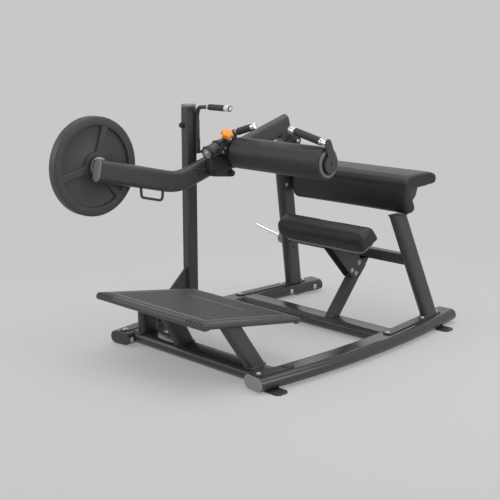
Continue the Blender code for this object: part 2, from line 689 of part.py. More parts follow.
arm = part("lever_arm", swept(arm_path(), oval(ARM_W, ARM_H), caps=False), COAT, "lever")
hollow(arm)
rear_end = Vector((ARM_X, ARM_REAR_Y, ARM_REAR_Z))


def arm_place(back, down):
    """A place inside the lever, back from its rear end and down from its centre line."""
    place = rear_end - HUB_AXIS * back - HUB_UP * down
    return (place.y, place.z)


knuckle_top = [arm_place(0.050, 0.030), arm_place(0.004, 0.005), arm_place(0.090, ARM_H / 2 - 0.002)]
knuckle_outline = hull([(y + PIVOT_Y, z + PIVOT_Z) for y, z in circle(SLEEVE_R, 28)] + knuckle_top)
knuckle = extruded([knuckle_outline], (ARM_X - ARM_W / 2, 0, 0), (ARM_X + ARM_W / 2, 0, 0), Y, Z)
combine(arm, [knuckle], "UNION", "lever")
sleeve_bore = rod((ARM_X - ARM_W, PIVOT_Y, PIVOT_Z), (ARM_X + ARM_W, PIVOT_Y, PIVOT_Z), SLEEVE_BORE_R, 28)
combine(arm, [sleeve_bore], "DIFFERENCE", "lever")

# The rest lug stands on the lever and reaches out over the catch
arm_solid = swept(arm_path(), oval(ARM_W + 2 * SEAT, ARM_H + 2 * SEAT))
lug_low = bumper_low + BUMPER_H + SEAT
lug_right, lug_left = BARREL_X - LUG_PAST, ARM_X + LUG_WALL / 2
lug_x = (lug_left + lug_right) / 2
lug = extruded([rounded(lug_left - lug_right, LUG_L, 0.005)], (lug_x, catch_y, lug_low),
               (lug_x, catch_y, lug_low + LUG_T), X, Y)
lug_wall = block((ARM_X - LUG_WALL / 2, catch_y - LUG_WALL / 2, lug_low - ARM_H / 2),
                 (ARM_X + LUG_WALL / 2, catch_y + LUG_WALL / 2, lug_low + LUG_T / 2))
rest_lug = joined("rest_lug", COAT, [lug, lug_wall], "lever")
combine(rest_lug, [arm_solid.copy()], "DIFFERENCE", "lever")

front_end = Vector((ARM_X, ARM_FRONT_Y, ARM_FRONT_Z))
front_way = (front_end - Vector((ARM_X, ARM_BEND_Y, ARM_BEND_Z))).normalized()


def arm_cap(name, end, way):
    up = X.cross(way)
    face = end + way * SEAT
    bore = 2 * (WALL + SEAT)
    rim = extruded([oval(ARM_W, ARM_H)], face, face + way * CAP_T, X, up, 0.0015)
    core = extruded([oval(ARM_W - bore, ARM_H - bore)], face - way * PLUG_L, face + way * CAP_T / 2, X, up)
    return joined(name, GREY_CAP, [rim, core], "lever")


arm_cap("lever_front_cap", front_end, front_way)


def arm_under(y):
    """Height of the lever's underside ahead of the bend."""
    slope = (ARM_FRONT_Z - ARM_BEND_Z) / (ARM_BEND_Y - ARM_FRONT_Y)
    return ARM_BEND_Z + slope * (ARM_BEND_Y - y) - ARM_H / 2 / cos(atan2(slope, 1))


loop_top = 0.004
loop_path = bent([(ARM_X, LOOP_FRONT_Y, arm_under(LOOP_FRONT_Y) + loop_top),
                  (ARM_X, LOOP_FRONT_Y + LOOP_SPLAY, arm_under(LOOP_FRONT_Y) - LOOP_DROP),
                  (ARM_X, LOOP_REAR_Y - LOOP_SPLAY, arm_under(LOOP_REAR_Y) - LOOP_DROP),
                  (ARM_X, LOOP_REAR_Y, arm_under(LOOP_REAR_Y) + loop_top)], LOOP_BEND_R, 4)
loop = part("loop_handle", wire(loop_path, LOOP_R), COAT, "lever")
combine(loop, [arm_solid], "DIFFERENCE", "lever")

# Plate horn through the lever's front end, with the collar that the plate leans on
collar_face = ARM_X - ARM_W / 2 - SEAT
horn_parts = [rod((collar_face - HORN_COLLAR_T, DISC_Y, DISC_Z), (collar_face, DISC_Y, DISC_Z), HORN_COLLAR_R, 32),
              rod((collar_face - HORN_COLLAR_T - HORN_LENGTH, DISC_Y, DISC_Z),
                  (collar_face - HORN_COLLAR_T / 2, DISC_Y, DISC_Z), HORN_R, 28)]
joined("plate_horn", STEEL, horn_parts, "lever")

# Weight plate: rim, web with windows and hub, turned and then cut
disc_face = collar_face - HORN_COLLAR_T - SEAT
disc_mid = disc_face - DISC_T / 2
half, thin = DISC_T / 2, WEB_T / 2
disc_profile = [(DISC_BORE_R, half), (HUB_R, half), (HUB_R + 0.006, thin), (DISC_R - RIM_W - 0.006, thin),
                (DISC_R - RIM_W, half), (DISC_R - 0.004, half), (DISC_R, half - 0.004), (DISC_R, -half + 0.004),
                (DISC_R - 0.004, -half), (DISC_R - RIM_W, -half), (DISC_R - RIM_W - 0.006, -thin),
                (HUB_R + 0.006, -thin), (HUB_R, -half), (DISC_BORE_R, -half), (DISC_BORE_R, half)]
disc = part("weight_plate", turned(disc_profile, (disc_mid, DISC_Y, DISC_Z), X, 40), IRON, "weight")
spokes = []
for i in range(3):
    turn = radians(72 + 120 * i)
    out = Vector((0, cos(turn), sin(turn)))
    start = Vector((disc_mid, DISC_Y, DISC_Z)) + out * (HUB_R - 0.004)
    end = Vector((disc_mid, DISC_Y, DISC_Z)) + out * (DISC_R - RIM_W + 0.004)
    spokes.append(extruded([rounded(DISC_T - 0.008, SPOKE_W, 0.006, 2)], start, end, X, X.cross(out)))
combine(disc, spokes, "UNION", "weight")

# Hub bracket, spindle and pop pin

def hub_point(along, dx=0.0, up=0.0):
    return HUB_FRONT + HUB_AXIS * along + X * dx + HUB_UP * up


bracket_near, bracket_far = HUB_LENGTH + 0.002, HUB_LENGTH + 0.018
face_dx = ARM_FACE - HUB_X + SEAT
bracket_outline = hull(circle(SPINDLE_R + 0.002, 20) + [(face_dx, -0.020), (face_dx, -0.115), (0.015, -0.128),
                                                       (0.020, -0.100)])
bracket = extruded([bracket_outline], hub_point(bracket_near), hub_point(bracket_far), X, HUB_UP)
spindle_seat = rod(hub_point(bracket_near - 0.01), hub_point(bracket_far + 0.01), SPINDLE_R * 0.7 + SEAT, 24)
combine(part("hub_bracket", bracket, COAT, "lever"), [spindle_seat], "DIFFERENCE", "lever")

spindle = [rod(hub_point(-0.001), hub_point(bracket_near - SEAT), SPINDLE_R, 28),
           rod(hub_point(bracket_near - 0.004), hub_point(bracket_far + 0.004), SPINDLE_R * 0.7, 24),
           rod(hub_point(-0.010), hub_point(-SEAT), HUB_R_OUT - 0.002, 28)]
spindle_obj = joined("hub_spindle", STEEL, spindle, "lever")
pin_way = X * sin(PIN_TILT) + HUB_UP * cos(PIN_TILT)
pin_foot = hub_point(PIN_ALONG)
slot_floor, slot_mouth = SPINDLE_R - PIN_BITE - SEAT, SPINDLE_R + 0.01
slot_turns = [PIN_TILT, PIN_TILT - SWING]


def round_hub(r, turn):
    """A place round the hub axis, measured from straight up towards the left."""
    return (r * sin(turn), r * cos(turn))


slot_steps = [slot_turns[0] + (slot_turns[1] - slot_turns[0]) * i / 10 for i in range(11)]
slot_outline = [round_hub(slot_mouth, t) for t in slot_steps]
slot_outline += [round_hub(slot_floor, t) for t in slot_steps[::-1]]
slot_half = HUB_AXIS * (PIN_R + SEAT)
travel_slot = [extruded([slot_outline], pin_foot - slot_half, pin_foot + slot_half, X, HUB_UP)]
for turn in slot_turns:
    way = X * sin(turn) + HUB_UP * cos(turn)
    travel_slot.append(rod(pin_foot + way * slot_floor, pin_foot + way * slot_mouth, PIN_R + SEAT, 16))
combine(spindle_obj, travel_slot, "DIFFERENCE", "lever")

# Carriage: sleeve on the spindle, flank plate down to the roller shaft, boss for the pin

sleeve = pipe(hub_point(0.0), hub_point(HUB_LENGTH), HUB_R_OUT, SPINDLE_R + RUNNING, 32)
boss = rod(pin_foot + pin_way * (HUB_R_OUT - 0.006), pin_foot + pin_way * (HUB_R_OUT + BOSS_OUT), 0.012, 20)
flank_left, flank_right = HUB_X + HUB_R_OUT - 0.007, HUB_X + HUB_R_OUT + 0.006
flank_points = [hub_point(a, 0, u) for a, u in ((0.030, 0.012), (0.030, -0.014), (HUB_LENGTH - 0.001, 0.016))]
flank_outline = hull([(p.y, p.z) for p in flank_points] + circle(0.030, 24, ROLLER_Y, ROLLER_Z))
flank = extruded([flank_outline], (flank_left, 0, 0), (flank_right, 0, 0), Y, Z)
handle_foot = (HUB_X + HUB_R_OUT + 0.010, ROLLER_Y - 0.006, 0.960)
mast_outline = hull(circle(MAST_TOP_R, 16, handle_foot[1], handle_foot[2])
                    + circle(MAST_FOOT_R, 16, ROLLER_Y - 0.008, ROLLER_Z + 0.03))
mast = extruded([mast_outline], (flank_left + 0.003, 0, 0), (flank_right, 0, 0), Y, Z)
carriage = joined("carriage_hub", COAT, [sleeve, boss, flank, mast], "carriage")
pin_bore = rod(pin_foot + pin_way * (SPINDLE_R - 0.004), pin_foot + pin_way * 0.08, PIN_R + RUNNING, 16)
bore_again = rod(hub_point(-0.02), hub_point(HUB_LENGTH + 0.02), SPINDLE_R + RUNNING, 32)
combine(carriage, [pin_bore, bore_again], "DIFFERENCE", "carriage")

pin_in, pin_out = SPINDLE_R - PIN_BITE, HUB_R_OUT + KNOB_LOW + 0.008
part("pop_pin", rod(pin_foot + pin_way * pin_in, pin_foot + pin_way * pin_out, PIN_R, 16), STEEL, "pop_pin")
knob_low = HUB_R_OUT + KNOB_LOW
lobes = []
for i in range(48):
    turn = 2 * pi * i / 48
    reach = KNOB_R * (0.88 + 0.12 * cos(6 * turn))
    lobes.append((reach * cos(turn), reach * sin(turn)))
knob_high = knob_low + KNOB_H
knob = extruded([lobes], pin_foot + pin_way * knob_low, pin_foot + pin_way * knob_high, HUB_AXIS,
                pin_way.cross(HUB_AXIS), 0.004)
knob_hole = rod(pin_foot + pin_way * (pin_in - 0.01), pin_foot + pin_way * (pin_out + SEAT), PIN_R + SEAT, 16)
combine(part("pop_knob", knob, ORANGE, "pop_pin"), [knob_hole], "DIFFERENCE", "pop_pin")

# Roller on its shaft, the hook plate at the near end and the two handles

hook_right = ROLLER_LEFT + RING_T + 0.004
shaft_start = flank_right + SEAT
part("roller_shaft", rod((shaft_start, ROLLER_Y, ROLLER_Z), (hook_right - SEAT, ROLLER_Y, ROLLER_Z), SHAFT_R, 20),
     CHROME, "carriage")
shaft_bore = SHAFT_R + RUNNING
part("roller_foam", pipe((ROLLER_RIGHT, ROLLER_Y, ROLLER_Z), (ROLLER_LEFT, ROLLER_Y, ROLLER_Z), ROLLER_R,
                         shaft_bore + FOAM_TUBE, 36), VINYL, "roller")
for word, face, way in (("left", ROLLER_LEFT, 1), ("right", ROLLER_RIGHT, -1)):
    at = face + way * SEAT
    core_r, core_end = shaft_bore + FOAM_TUBE - SEAT, -0.025
    bush = [(shaft_bore, RING_T), (RING_R - 0.002, RING_T), (RING_R, RING_T - 0.002), (RING_R, 0), (core_r, 0),
            (core_r, core_end), (shaft_bore, core_end), (shaft_bore, RING_T)]
    part("roller_bush_" + word, turned(bush, (at, ROLLER_Y, ROLLER_Z), X * way, 28), RUBBER, "roller")

neck = circle(HOOK_TOP_R, 16, HOOK_TOP_Y, HOOK_TOP_Z)
neck += circle(HOOK_R * 0.55, 20, ROLLER_Y + 0.012, ROLLER_Z + 0.010)
hook_rear = hook_right + HOOK_T
hook_hole = circle(FOOT_HOLE_R, 12, ROLLER_Y, ROLLER_Z)
hook_disc = [circle(HOOK_R, 28, ROLLER_Y, ROLLER_Z), hook_hole]
joined("hook_plate", COAT, [
    extruded(hook_disc, (hook_right, 0, 0), (hook_rear, 0, 0), Y, Z),
    extruded([hull(neck), hook_hole], (hook_right + 0.001, 0, 0), (hook_rear - 0.001, 0, 0), Y, Z)], "carriage")


def handle(word, foot_at, tip_at, grip_from, grip_to):
    """A chrome bar with a rubber grip; the bar's end shows past the grip."""
    foot_at, tip_at = Vector(foot_at), Vector(tip_at)
    way = (tip_at - foot_at).normalized()
    length = (tip_at - foot_at).length
    part("handle_bar_" + word, rod(foot_at, tip_at, BAR_R, 20), CHROME, "carriage")
    start, end = foot_at + way * length * grip_from, foot_at + way * length * grip_to
    part("handle_grip_" + word, pipe(start, end, BAR_R + GRIP_T, BAR_R + SEAT, 20), RUBBER, "carriage")


handle("left", (hook_right - SEAT - 0.002, HOOK_TOP_Y, HOOK_TOP_Z - 0.004), LEFT_TIP, 0.16, 0.84)
handle("right", (flank_right + SEAT + 0.004, handle_foot[1], handle_foot[2]), RIGHT_TIP, 0.14, 0.82)

# Foot platform: a ribbed deck with turned-down lips on three legs

deck_rear = Vector((DECK_X, DECK_REAR, DECK_REAR_Z))
deck_front = Vector((DECK_X, DECK_FRONT, DECK_FRONT_Z))
deck_way = (deck_rear - deck_front).normalized()
deck_up = X.cross(deck_way)
deck_length = (deck_rear - deck_front).length


def deck_point(x, along, depth):
    """A point x across, a distance along from the front edge and a depth under the tread."""
    return deck_front + X * x + deck_way * along - deck_up * depth


def deck_section():
    """Side outline of the deck: flat tread, rounded noses and lips that reach a little lower than its sides."""
    r = DECK_LIP / 2
    front = arc(r, -r, r, pi / 2, pi * 3 / 2, 6)
    rear = arc(deck_length - r, -r, r, -pi / 2, pi / 2, 6)
    under = [(deck_length - r - 0.020, -DECK_LIP), (deck_length - r - 0.030, -DECK_T), (r + 0.030, -DECK_T),
             (r + 0.020, -DECK_LIP)]
    return tidy(front + under[::-1] + rear)


deck_right, deck_left = deck_point(-DECK_W / 2, 0, 0), deck_point(DECK_W / 2, 0, 0)
deck = extruded([deck_section()], deck_right, deck_left, deck_way, deck_up, DECK_EDGE)
ribs = []
rib_run = deck_length - 2 * RIB_MARGIN
rib_outline = rounded(DECK_W - 2 * RIB_MARGIN, RIB_W, RIB_W * 0.45)
for i in range(RIB_COUNT):
    along = RIB_MARGIN + rib_run * i / (RIB_COUNT - 1)
    ribs.append(extruded([rib_outline], deck_point(0, along, 0.001), deck_point(0, along, -RIB_H), X, deck_way))
platform = combine(part("platform", deck, COAT), ribs, "UNION")
pocket_outline = rounded(DECK_W - 2 * SKIRT_T, deck_length - DECK_LIP, 0.010)
pocket = extruded([pocket_outline], deck_point(0, deck_length / 2, DECK_SKIN),
                  deck_point(0, deck_length / 2, 2 * DECK_LIP), X, deck_way)
combine(platform, [pocket], "DIFFERENCE")


def deck_seat():
    """The slab that trims the legs to the underside of the tread."""
    low = deck_point(0, -0.1, DECK_SKIN + SEAT)
    run = deck_way * (deck_length + 0.2)
    return extruded([[(-0.5, 0), (0.5, 0), (0.5, 0.2), (-0.5, 0.2)]], low, low + run, X, deck_up)


def leg(name, x, lean, inward):
    """A support on the front cross tube, leaning forward and in under the tread."""
    rise = DECK_FRONT_Z
    low = Vector((x, FRONT_TUBE_Y, RAIL_TOP + SEAT))
    high = low + (Z - Y * tan(lean) - X * tan(inward)) * rise
    tube = extruded(oval_tube(LEG_W, LEG_D), low, high, X, Y)
    return combine(part(name, tube, COAT), [deck_seat()], "DIFFERENCE")


leg("platform_leg_left", LEG_LEFT_X, LEG_LEAN, LEG_LEFT_IN)
leg("platform_leg_middle", LEG_MIDDLE_X, LEG_LEAN, 0)
leg("platform_leg_right", LEG_RIGHT_X, LEG_RIGHT_LEAN, -LEG_RIGHT_IN)

# Seat

bar_y = upright_point(1, REAR_BAR_Z).y
seat_low = Vector((SEAT_POST_X, MIDDLE_TUBE_Y, RAIL_TOP + SEAT))
seat_top = Vector((SEAT_POST_X, bar_y - REAR_BAR_D / 2, REAR_BAR_Z - REAR_BAR_H / 2 - SEAT))
inside = 2 * WALL
seat_post = extruded([rounded(SEAT_POST_W, SEAT_POST_D, 0.008, 3),
                      rounded(SEAT_POST_W - inside, SEAT_POST_D - inside, 0.005, 2)], seat_low, seat_top, X, Y)
part("seat_post", seat_post, COAT)

tilt = Matrix.Rotation(SEAT_TILT, 3, "X")
seat_pivot = Vector((0, SEAT_FRONT, SEAT_BASE_Z))


def tilted(y, z):
    """A point of the level seat after the seat is tilted about its front lower edge."""
    turned_point = seat_pivot + tilt @ (Vector((0, y, z)) - seat_pivot)
    return (turned_point.y, turned_point.z)


def post_at(z):
    """The seat post's centre line in side view."""
    t = (z - seat_low.z) / (seat_top.z - seat_low.z)
    return seat_low.y + (seat_top.y - seat_low.y) * t


# The bracket is a saddle plate under the board with a cheek on each side of the post
saddle_top = SEAT_BASE_Z - BOARD_T - SEAT
saddle = [tilted(y, z) for y, z in ((SEAT_FRONT + 0.020, saddle_top), (SEAT_FRONT + SEAT_DEPTH - 0.012, saddle_top),
                                    (SEAT_FRONT + SEAT_DEPTH - 0.012, saddle_top - CHEEK_T),
                                    (SEAT_FRONT + 0.020, saddle_top - CHEEK_T))]
cheek_foot = [(post_at(0.240) - 0.030, 0.240), (post_at(0.240) + 0.020, 0.240), (post_at(0.290) + 0.024, 0.290)]
cheek = hull(saddle[2:] + cheek_foot)
cheek_x = SEAT_POST_W / 2 + SEAT
bracket_reach = cheek_x + CHEEK_T
seat_bracket = [extruded([saddle], (SEAT_POST_X - bracket_reach, 0, 0),
                         (SEAT_POST_X + bracket_reach, 0, 0), Y, Z)]
for way in (-1, 1):
    near, far = SEAT_POST_X + way * cheek_x, SEAT_POST_X + way * bracket_reach
    seat_bracket.append(extruded([cheek], (min(near, far), 0, 0), (max(near, far), 0, 0), Y, Z))
joined("seat_bracket", COAT, seat_bracket)

board_low, board_high = SEAT_BASE_Z - BOARD_T, SEAT_BASE_Z - SEAT
seat_y = SEAT_FRONT + SEAT_DEPTH / 2
low_at, high_at = tilted(seat_y, board_low), tilted(seat_y, board_high)
board_outline = rounded(SEAT_W - 0.05, SEAT_DEPTH - 0.016, 0.03)
board = extruded([board_outline], (SEAT_X, *low_at), (SEAT_X, *high_at), X, tilt @ Y)
part("seat_board", board, RUBBER)


# Side outline of the cushion in shares of its depth and height: full front, flat top, slanted rear
SEAT_SECTION = [(0.03, 0), (-0.065, 0.17), (-0.09, 0.42), (-0.06, 0.66), (0.0, 0.84), (0.09, 0.94), (0.24, 0.99),
                (0.46, 1.0), (0.66, 0.98), (0.77, 0.92), (0.85, 0.76), (0.93, 0.47), (0.99, 0.21), (1.01, 0.10),
                (0.98, 0)]


def swelled(width, centre, edge):
    """Stations for a cushion: full in the middle and drawn in over the last stretch at each end."""
    spans = ((0.0, 1.0), (0.12, 0.62), (0.34, 0.30), (0.66, 0.08), (1.0, 0.0))
    reach = edge * 1.6
    left = [(centre - width / 2 + s * reach, inset * edge) for s, inset in spans]
    right = [(centre + width / 2 - s * reach, inset * edge) for s, inset in reversed(spans)]
    return left + right


seat_outline = [tilted(SEAT_FRONT + a * SEAT_DEPTH, SEAT_BASE_Z + u * SEAT_PAD_H) for a, u in SEAT_SECTION]
part("seat_pad", tapered(seat_outline[::-1], swelled(SEAT_W, SEAT_X, SEAT_ROUND)), VINYL)

# Back pad: one long cushion, a wedge below and a ledge that runs back over its top

BACK_FACE = [(0.612, 0.583), (0.590, 0.598), (0.572, 0.640), (0.565, 0.690), (0.567, 0.735), (0.583, 0.757),
             (0.620, 0.767), (0.700, 0.770), (0.790, 0.767), (0.826, 0.756), (0.834, 0.738), (0.828, 0.717)]
BACK_REST = [(0.806, 0.708), (0.608, 0.706), (0.656, 0.612)]
BACK_HEEL = [(0.652, 0.594), (0.634, 0.585)]
part("back_pad", tapered(BACK_FACE + BACK_REST + BACK_HEEL, swelled(BACK_W, BACK_X, BACK_ROUND)), VINYL)


def beside(points, gap):
    """An open line moved to its left by a gap, with its corner kept sharp."""
    points = [Vector(p) for p in points]
    ways = [(b - a).normalized() for a, b in zip(points, points[1:])]
    lefts = [Vector((-way.y, way.x)) * gap for way in ways]
    turn = ways[0].angle(ways[1])
    corner = points[1] + lefts[0] - ways[0] * gap * tan(turn / 2)
    return [tuple(points[0] + lefts[0]), tuple(corner), tuple(points[2] + lefts[1])]


# The board fills the corner under the ledge, and two brackets hold it on the uprights
board_front = beside(BACK_REST, SEAT)
board_rear = beside(board_front, BACK_BOARD_T)
board_left, board_right = BACK_X + BACK_W / 2 - BOARD_INSET, BACK_X - BACK_W / 2 + BOARD_INSET
board_mesh = extruded([board_front + board_rear[::-1]], (board_right, 0, 0), (board_left, 0, 0), Y, Z)
part("back_board", board_mesh, RUBBER)
corner_rear, heel_rear = beside(board_rear, SEAT)[1:]

left_top = upright_point(1, LEFT_TOP_Z + SEAT)
left_crown = extruded([rounded(UPRIGHT_W, UPRIGHT_D, 0.012)], left_top, left_top + Z * BRACKET_T, X, Y)
web_low = left_top.z + BRACKET_T / 2
heel_y, heel_z = BACK_REST[2]
left_web = [(left_top.y + 0.030, web_low), (left_top.y + 0.050, web_low), (heel_y + 0.080, heel_z + 0.040),
            (heel_y + 0.095, corner_rear[1]), corner_rear, heel_rear, (heel_y + 0.006, heel_z),
            (heel_y + 0.002, heel_z - 0.020)]
left_plate = extruded([left_web], (left_top.x - BRACKET_T / 2, 0, 0), (left_top.x + BRACKET_T / 2, 0, 0), Y, Z)
joined("back_bracket_left", COAT, [left_crown, left_plate])

# The right upright runs on up past the pad, so its bracket is a plate on its flank with a flange behind the board
flank_low, flank_high = upright_point(-1, 0.620), upright_point(-1, 0.675)
inner = UPRIGHT_W / 2 + SEAT
flank_outline = [(inner, -0.030), (inner + BRACKET_T, -0.030), (inner + BRACKET_T, 0.116), (inner, 0.116)]
right_plate = extruded([flank_outline], flank_low, flank_high, X, Y)
flange_edge = [Vector(corner_rear).lerp(Vector(heel_rear), t) for t in (0.12, 1.0)]
flange_out = (flange_edge[1] - flange_edge[0]).normalized().orthogonal() * BRACKET_T
flange_strip = [tuple(p) for p in flange_edge] + [tuple(p + flange_out) for p in flange_edge[::-1]]
right_flange = extruded([flange_strip], (flank_low.x + inner, 0, 0), (board_right + 0.060, 0, 0), Y, Z)
joined("back_bracket_right", COAT, [right_plate, right_flange])

# Storage horn on the right upright's outer face

store_root = Vector((STORE_ROOT_X, UPRIGHT_Y - UPRIGHT_FORWARD * (STORE_Z - RAIL_TOP), STORE_Z))
store_way = Vector((-cos(STORE_TILT), 0, sin(STORE_TILT)))
flange_end = store_root + store_way * STORE_FLANGE_T
flange = part("storage_flange", rod(store_root - store_way * 0.01, flange_end, STORE_FLANGE_R, 32), RUBBER)
combine(flange, [upright_cutter(-1, RIGHT_TOP_Z)], "DIFFERENCE")
store_profile = [(0, STORE_LENGTH + STORE_NOSE), (STORE_R * 0.6, STORE_LENGTH + STORE_NOSE * 0.7),
                 (STORE_R, STORE_LENGTH), (STORE_R, 0), (0, 0)]
store = turned(store_profile, flange_end + store_way * SEAT, store_way, 20)
part("storage_horn", store, CHROME)
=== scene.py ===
# %% [markdown]
# A glute machine, dressed for its picture. The welded steel frame, the lever and every joint come ready
# made from the frame that is loaded here. This lesson gives them their finishes, pads the seat, the back
# and the roller, and adds the bolts, collars and castings that are too fine for the frame.

import json
from math import cos, pi, radians, sin, sqrt

import bmesh
import bpy
from mathutils import Matrix, Vector

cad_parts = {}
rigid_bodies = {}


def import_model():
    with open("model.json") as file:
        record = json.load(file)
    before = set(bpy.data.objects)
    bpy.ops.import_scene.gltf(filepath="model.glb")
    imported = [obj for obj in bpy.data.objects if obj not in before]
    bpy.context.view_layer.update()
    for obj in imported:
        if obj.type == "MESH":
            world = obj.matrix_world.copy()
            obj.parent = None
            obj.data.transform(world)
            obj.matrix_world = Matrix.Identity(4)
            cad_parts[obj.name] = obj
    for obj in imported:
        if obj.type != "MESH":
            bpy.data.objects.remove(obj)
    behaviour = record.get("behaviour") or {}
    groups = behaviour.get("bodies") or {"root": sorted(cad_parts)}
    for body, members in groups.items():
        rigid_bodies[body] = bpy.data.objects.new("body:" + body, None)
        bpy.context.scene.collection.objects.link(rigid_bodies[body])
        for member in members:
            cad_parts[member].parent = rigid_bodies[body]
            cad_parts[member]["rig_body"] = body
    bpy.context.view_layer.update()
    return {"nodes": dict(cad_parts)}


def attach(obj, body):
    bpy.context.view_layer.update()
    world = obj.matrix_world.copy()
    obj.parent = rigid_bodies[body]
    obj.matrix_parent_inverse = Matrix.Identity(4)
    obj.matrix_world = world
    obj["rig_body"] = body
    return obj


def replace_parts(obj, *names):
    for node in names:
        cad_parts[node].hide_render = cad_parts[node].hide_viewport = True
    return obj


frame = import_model()
X, Y, Z = Vector((1, 0, 0)), Vector((0, 1, 0)), Vector((0, 0, 1))

# %% [markdown]
# Shader maths reads best as plain arithmetic. A small class holds a socket and turns each operator into a
# Math node, with the reflected forms too, so that 1 - mask works. Every other node comes from one method of
# the recipe, which takes the node's type, its settings and the values or links of its sockets.

# %% Sockets that do arithmetic
class Socket:
    def __init__(self, recipe, socket):
        self.recipe = recipe
        self.socket = socket

    def math(self, operation, first, second):
        return self.recipe.node("ShaderNodeMath", {"operation": operation}, {0: first, 1: second})

    def __add__(self, other):
        return self.math("ADD", self, other)

    def __radd__(self, other):
        return self.math("ADD", other, self)

    def __sub__(self, other):
        return self.math("SUBTRACT", self, other)

    def __rsub__(self, other):
        return self.math("SUBTRACT", other, self)

    def __mul__(self, other):
        return self.math("MULTIPLY", self, other)

    def __rmul__(self, other):
        return self.math("MULTIPLY", other, self)


class Recipe:
    """The nodes of a material or of the world."""

    def __init__(self, owner):
        owner.use_nodes = True
        self.owner = owner
        self.tree = owner.node_tree

    def feed(self, socket, value):
        if isinstance(value, Socket):
            self.tree.links.new(value.socket, socket)
        else:
            socket.default_value = value

    def node(self, kind, settings={}, sockets={}, out=0):
        made = self.tree.nodes.new(kind)
        for name, value in settings.items():
            setattr(made, name, value)
        for name, value in sockets.items():
            self.feed(made.inputs[name], value)
        return Socket(self, made.outputs[out])


print("sockets and recipes ready")

# %% [markdown]
# A finish is the recipe of a material, and it starts from the Principled shader. Its patterns could lie on a
# UV map, but they read the object's own coordinates: every piece stands at the origin, so one grain fits
# them all without a seam.

# %% A finish
class Finish(Recipe):
    """A material in the making."""

    def __init__(self, name):
        super().__init__(bpy.data.materials.new(name))
        self.shader = self.tree.nodes["Principled BSDF"]
        self.place = self.node("ShaderNodeTexCoord", out="Object")

    def noise(self, scale, detail):
        sockets = {"Vector": self.place, "Scale": scale, "Detail": detail}
        return self.node("ShaderNodeTexNoise", {}, sockets)

    def blend(self, mask, dark, light):
        """Mixes two colours by a mask."""
        sockets = {0: mask, 6: (*dark, 1), 7: (*light, 1)}
        return self.node("ShaderNodeMix", {"data_type": "RGBA"}, sockets, out=2)

    def bump(self, height, distance, strength=1.0, under=None):
        sockets = {"Height": height, "Distance": distance, "Strength": strength}
        if under:
            sockets["Normal"] = under
        return self.node("ShaderNodeBump", {}, sockets)

    def finished(self, **inputs):
        """Feeds the shader's sockets and gives the material."""
        for name, value in inputs.items():
            self.feed(self.shader.inputs[name.replace("_", " ").title()], value)
        return self.owner


print("finish ready")

# %% [markdown]
# The frame's finish is a charcoal powder coat. It melts into a skin with a fine orange peel, satin rather
# than matt, so the flat tops of the rails mirror the pads softly. A fine noise makes the peel. A broad one
# lets the gloss and the tone drift, as they do on a coat that was sprayed by hand, and a third flecks the
# tone a little.

# %% Powder coat
def scaled(tone, share):
    return tuple(channel * share for channel in tone)


def powder_coat(name, tone, roughness, peel=0.00012):
    coat = Finish(name)
    drift = coat.noise(scale=5.0, detail=2.0)
    fleck = coat.noise(scale=900.0, detail=1.0)
    mask = drift * 0.6 + fleck * 0.4
    return coat.finished(base_color=coat.blend(mask, tone, scaled(tone, 1.35)),
                         roughness=roughness - 0.05 + drift * 0.10,
                         normal=coat.bump(coat.noise(scale=420.0, detail=2.0), peel))


COAT = powder_coat("charcoal_powder_coat", (0.036, 0.037, 0.038), 0.36)
RAIL_COAT = powder_coat("rail_powder_coat", (0.034, 0.035, 0.036), 0.20, 0.00006)
DECK_COAT = powder_coat("deck_powder_coat", (0.046, 0.047, 0.048), 0.46, 0.0002)
DARK_COAT = powder_coat("dark_hub_coat", (0.018, 0.018, 0.019), 0.40)
print("coats made")

# %% [markdown]
# Bare metal differs by its gloss here. The handles, the roller's shaft and the storage horn are chromed,
# which is almost a mirror with a few faint rubs, and the two carriage grips' caps are a softer satin chrome;
# the release handle's chrome cap is pale collar resin instead, a painted reflection. The bolts are zinc
# plated, and the plate horn, the pins and the bearings are turned steel, a little duller. All are metals, so
# their colour is the colour of their reflections.

# %% Bare metals
def bare_metal(name, tone, roughness, rub):
    metal = Finish(name)
    smear = metal.noise(scale=40.0, detail=4.0)
    scratch = metal.noise(scale=1400.0, detail=2.0)
    return metal.finished(base_color=metal.blend(smear, scaled(tone, 0.82), tone), metallic=1.0,
                          roughness=roughness + smear * rub, normal=metal.bump(scratch, 0.00002))


CHROME = bare_metal("chrome_plate", (0.86, 0.86, 0.87), 0.06, 0.08)
SATIN_CHROME = bare_metal("satin_chrome", (0.88, 0.88, 0.89), 0.20, 0.10)
STEEL = bare_metal("turned_steel", (0.62, 0.62, 0.63), 0.22, 0.16)
ZINC = bare_metal("zinc_bolt", (0.70, 0.70, 0.71), 0.20, 0.14)
print("metals made")

# %% [markdown]
# Moulded parts differ by their resin: grey caps and collars with a fine spark-eroded grain, black rubber
# grips that scatter the light, a pale resin whose tone paints the highlight on the mat's ridge lines, and the
# orange knob that marks what the user may adjust. The weight plate's rubber has a coarser grain. One function
# makes them all, since they differ only in tone, gloss and grain.

# %% Moulded parts
def moulded(name, tone, roughness, grain=0.00008, grain_scale=700.0):
    resin = Finish(name)
    spread = resin.noise(scale=12.0, detail=3.0)
    pits = resin.noise(scale=grain_scale, detail=2.0)
    return resin.finished(base_color=resin.blend(spread * 0.5 + pits * 0.5, tone, scaled(tone, 1.22)),
                          roughness=roughness - 0.04 + pits * 0.10, normal=resin.bump(pits, grain))


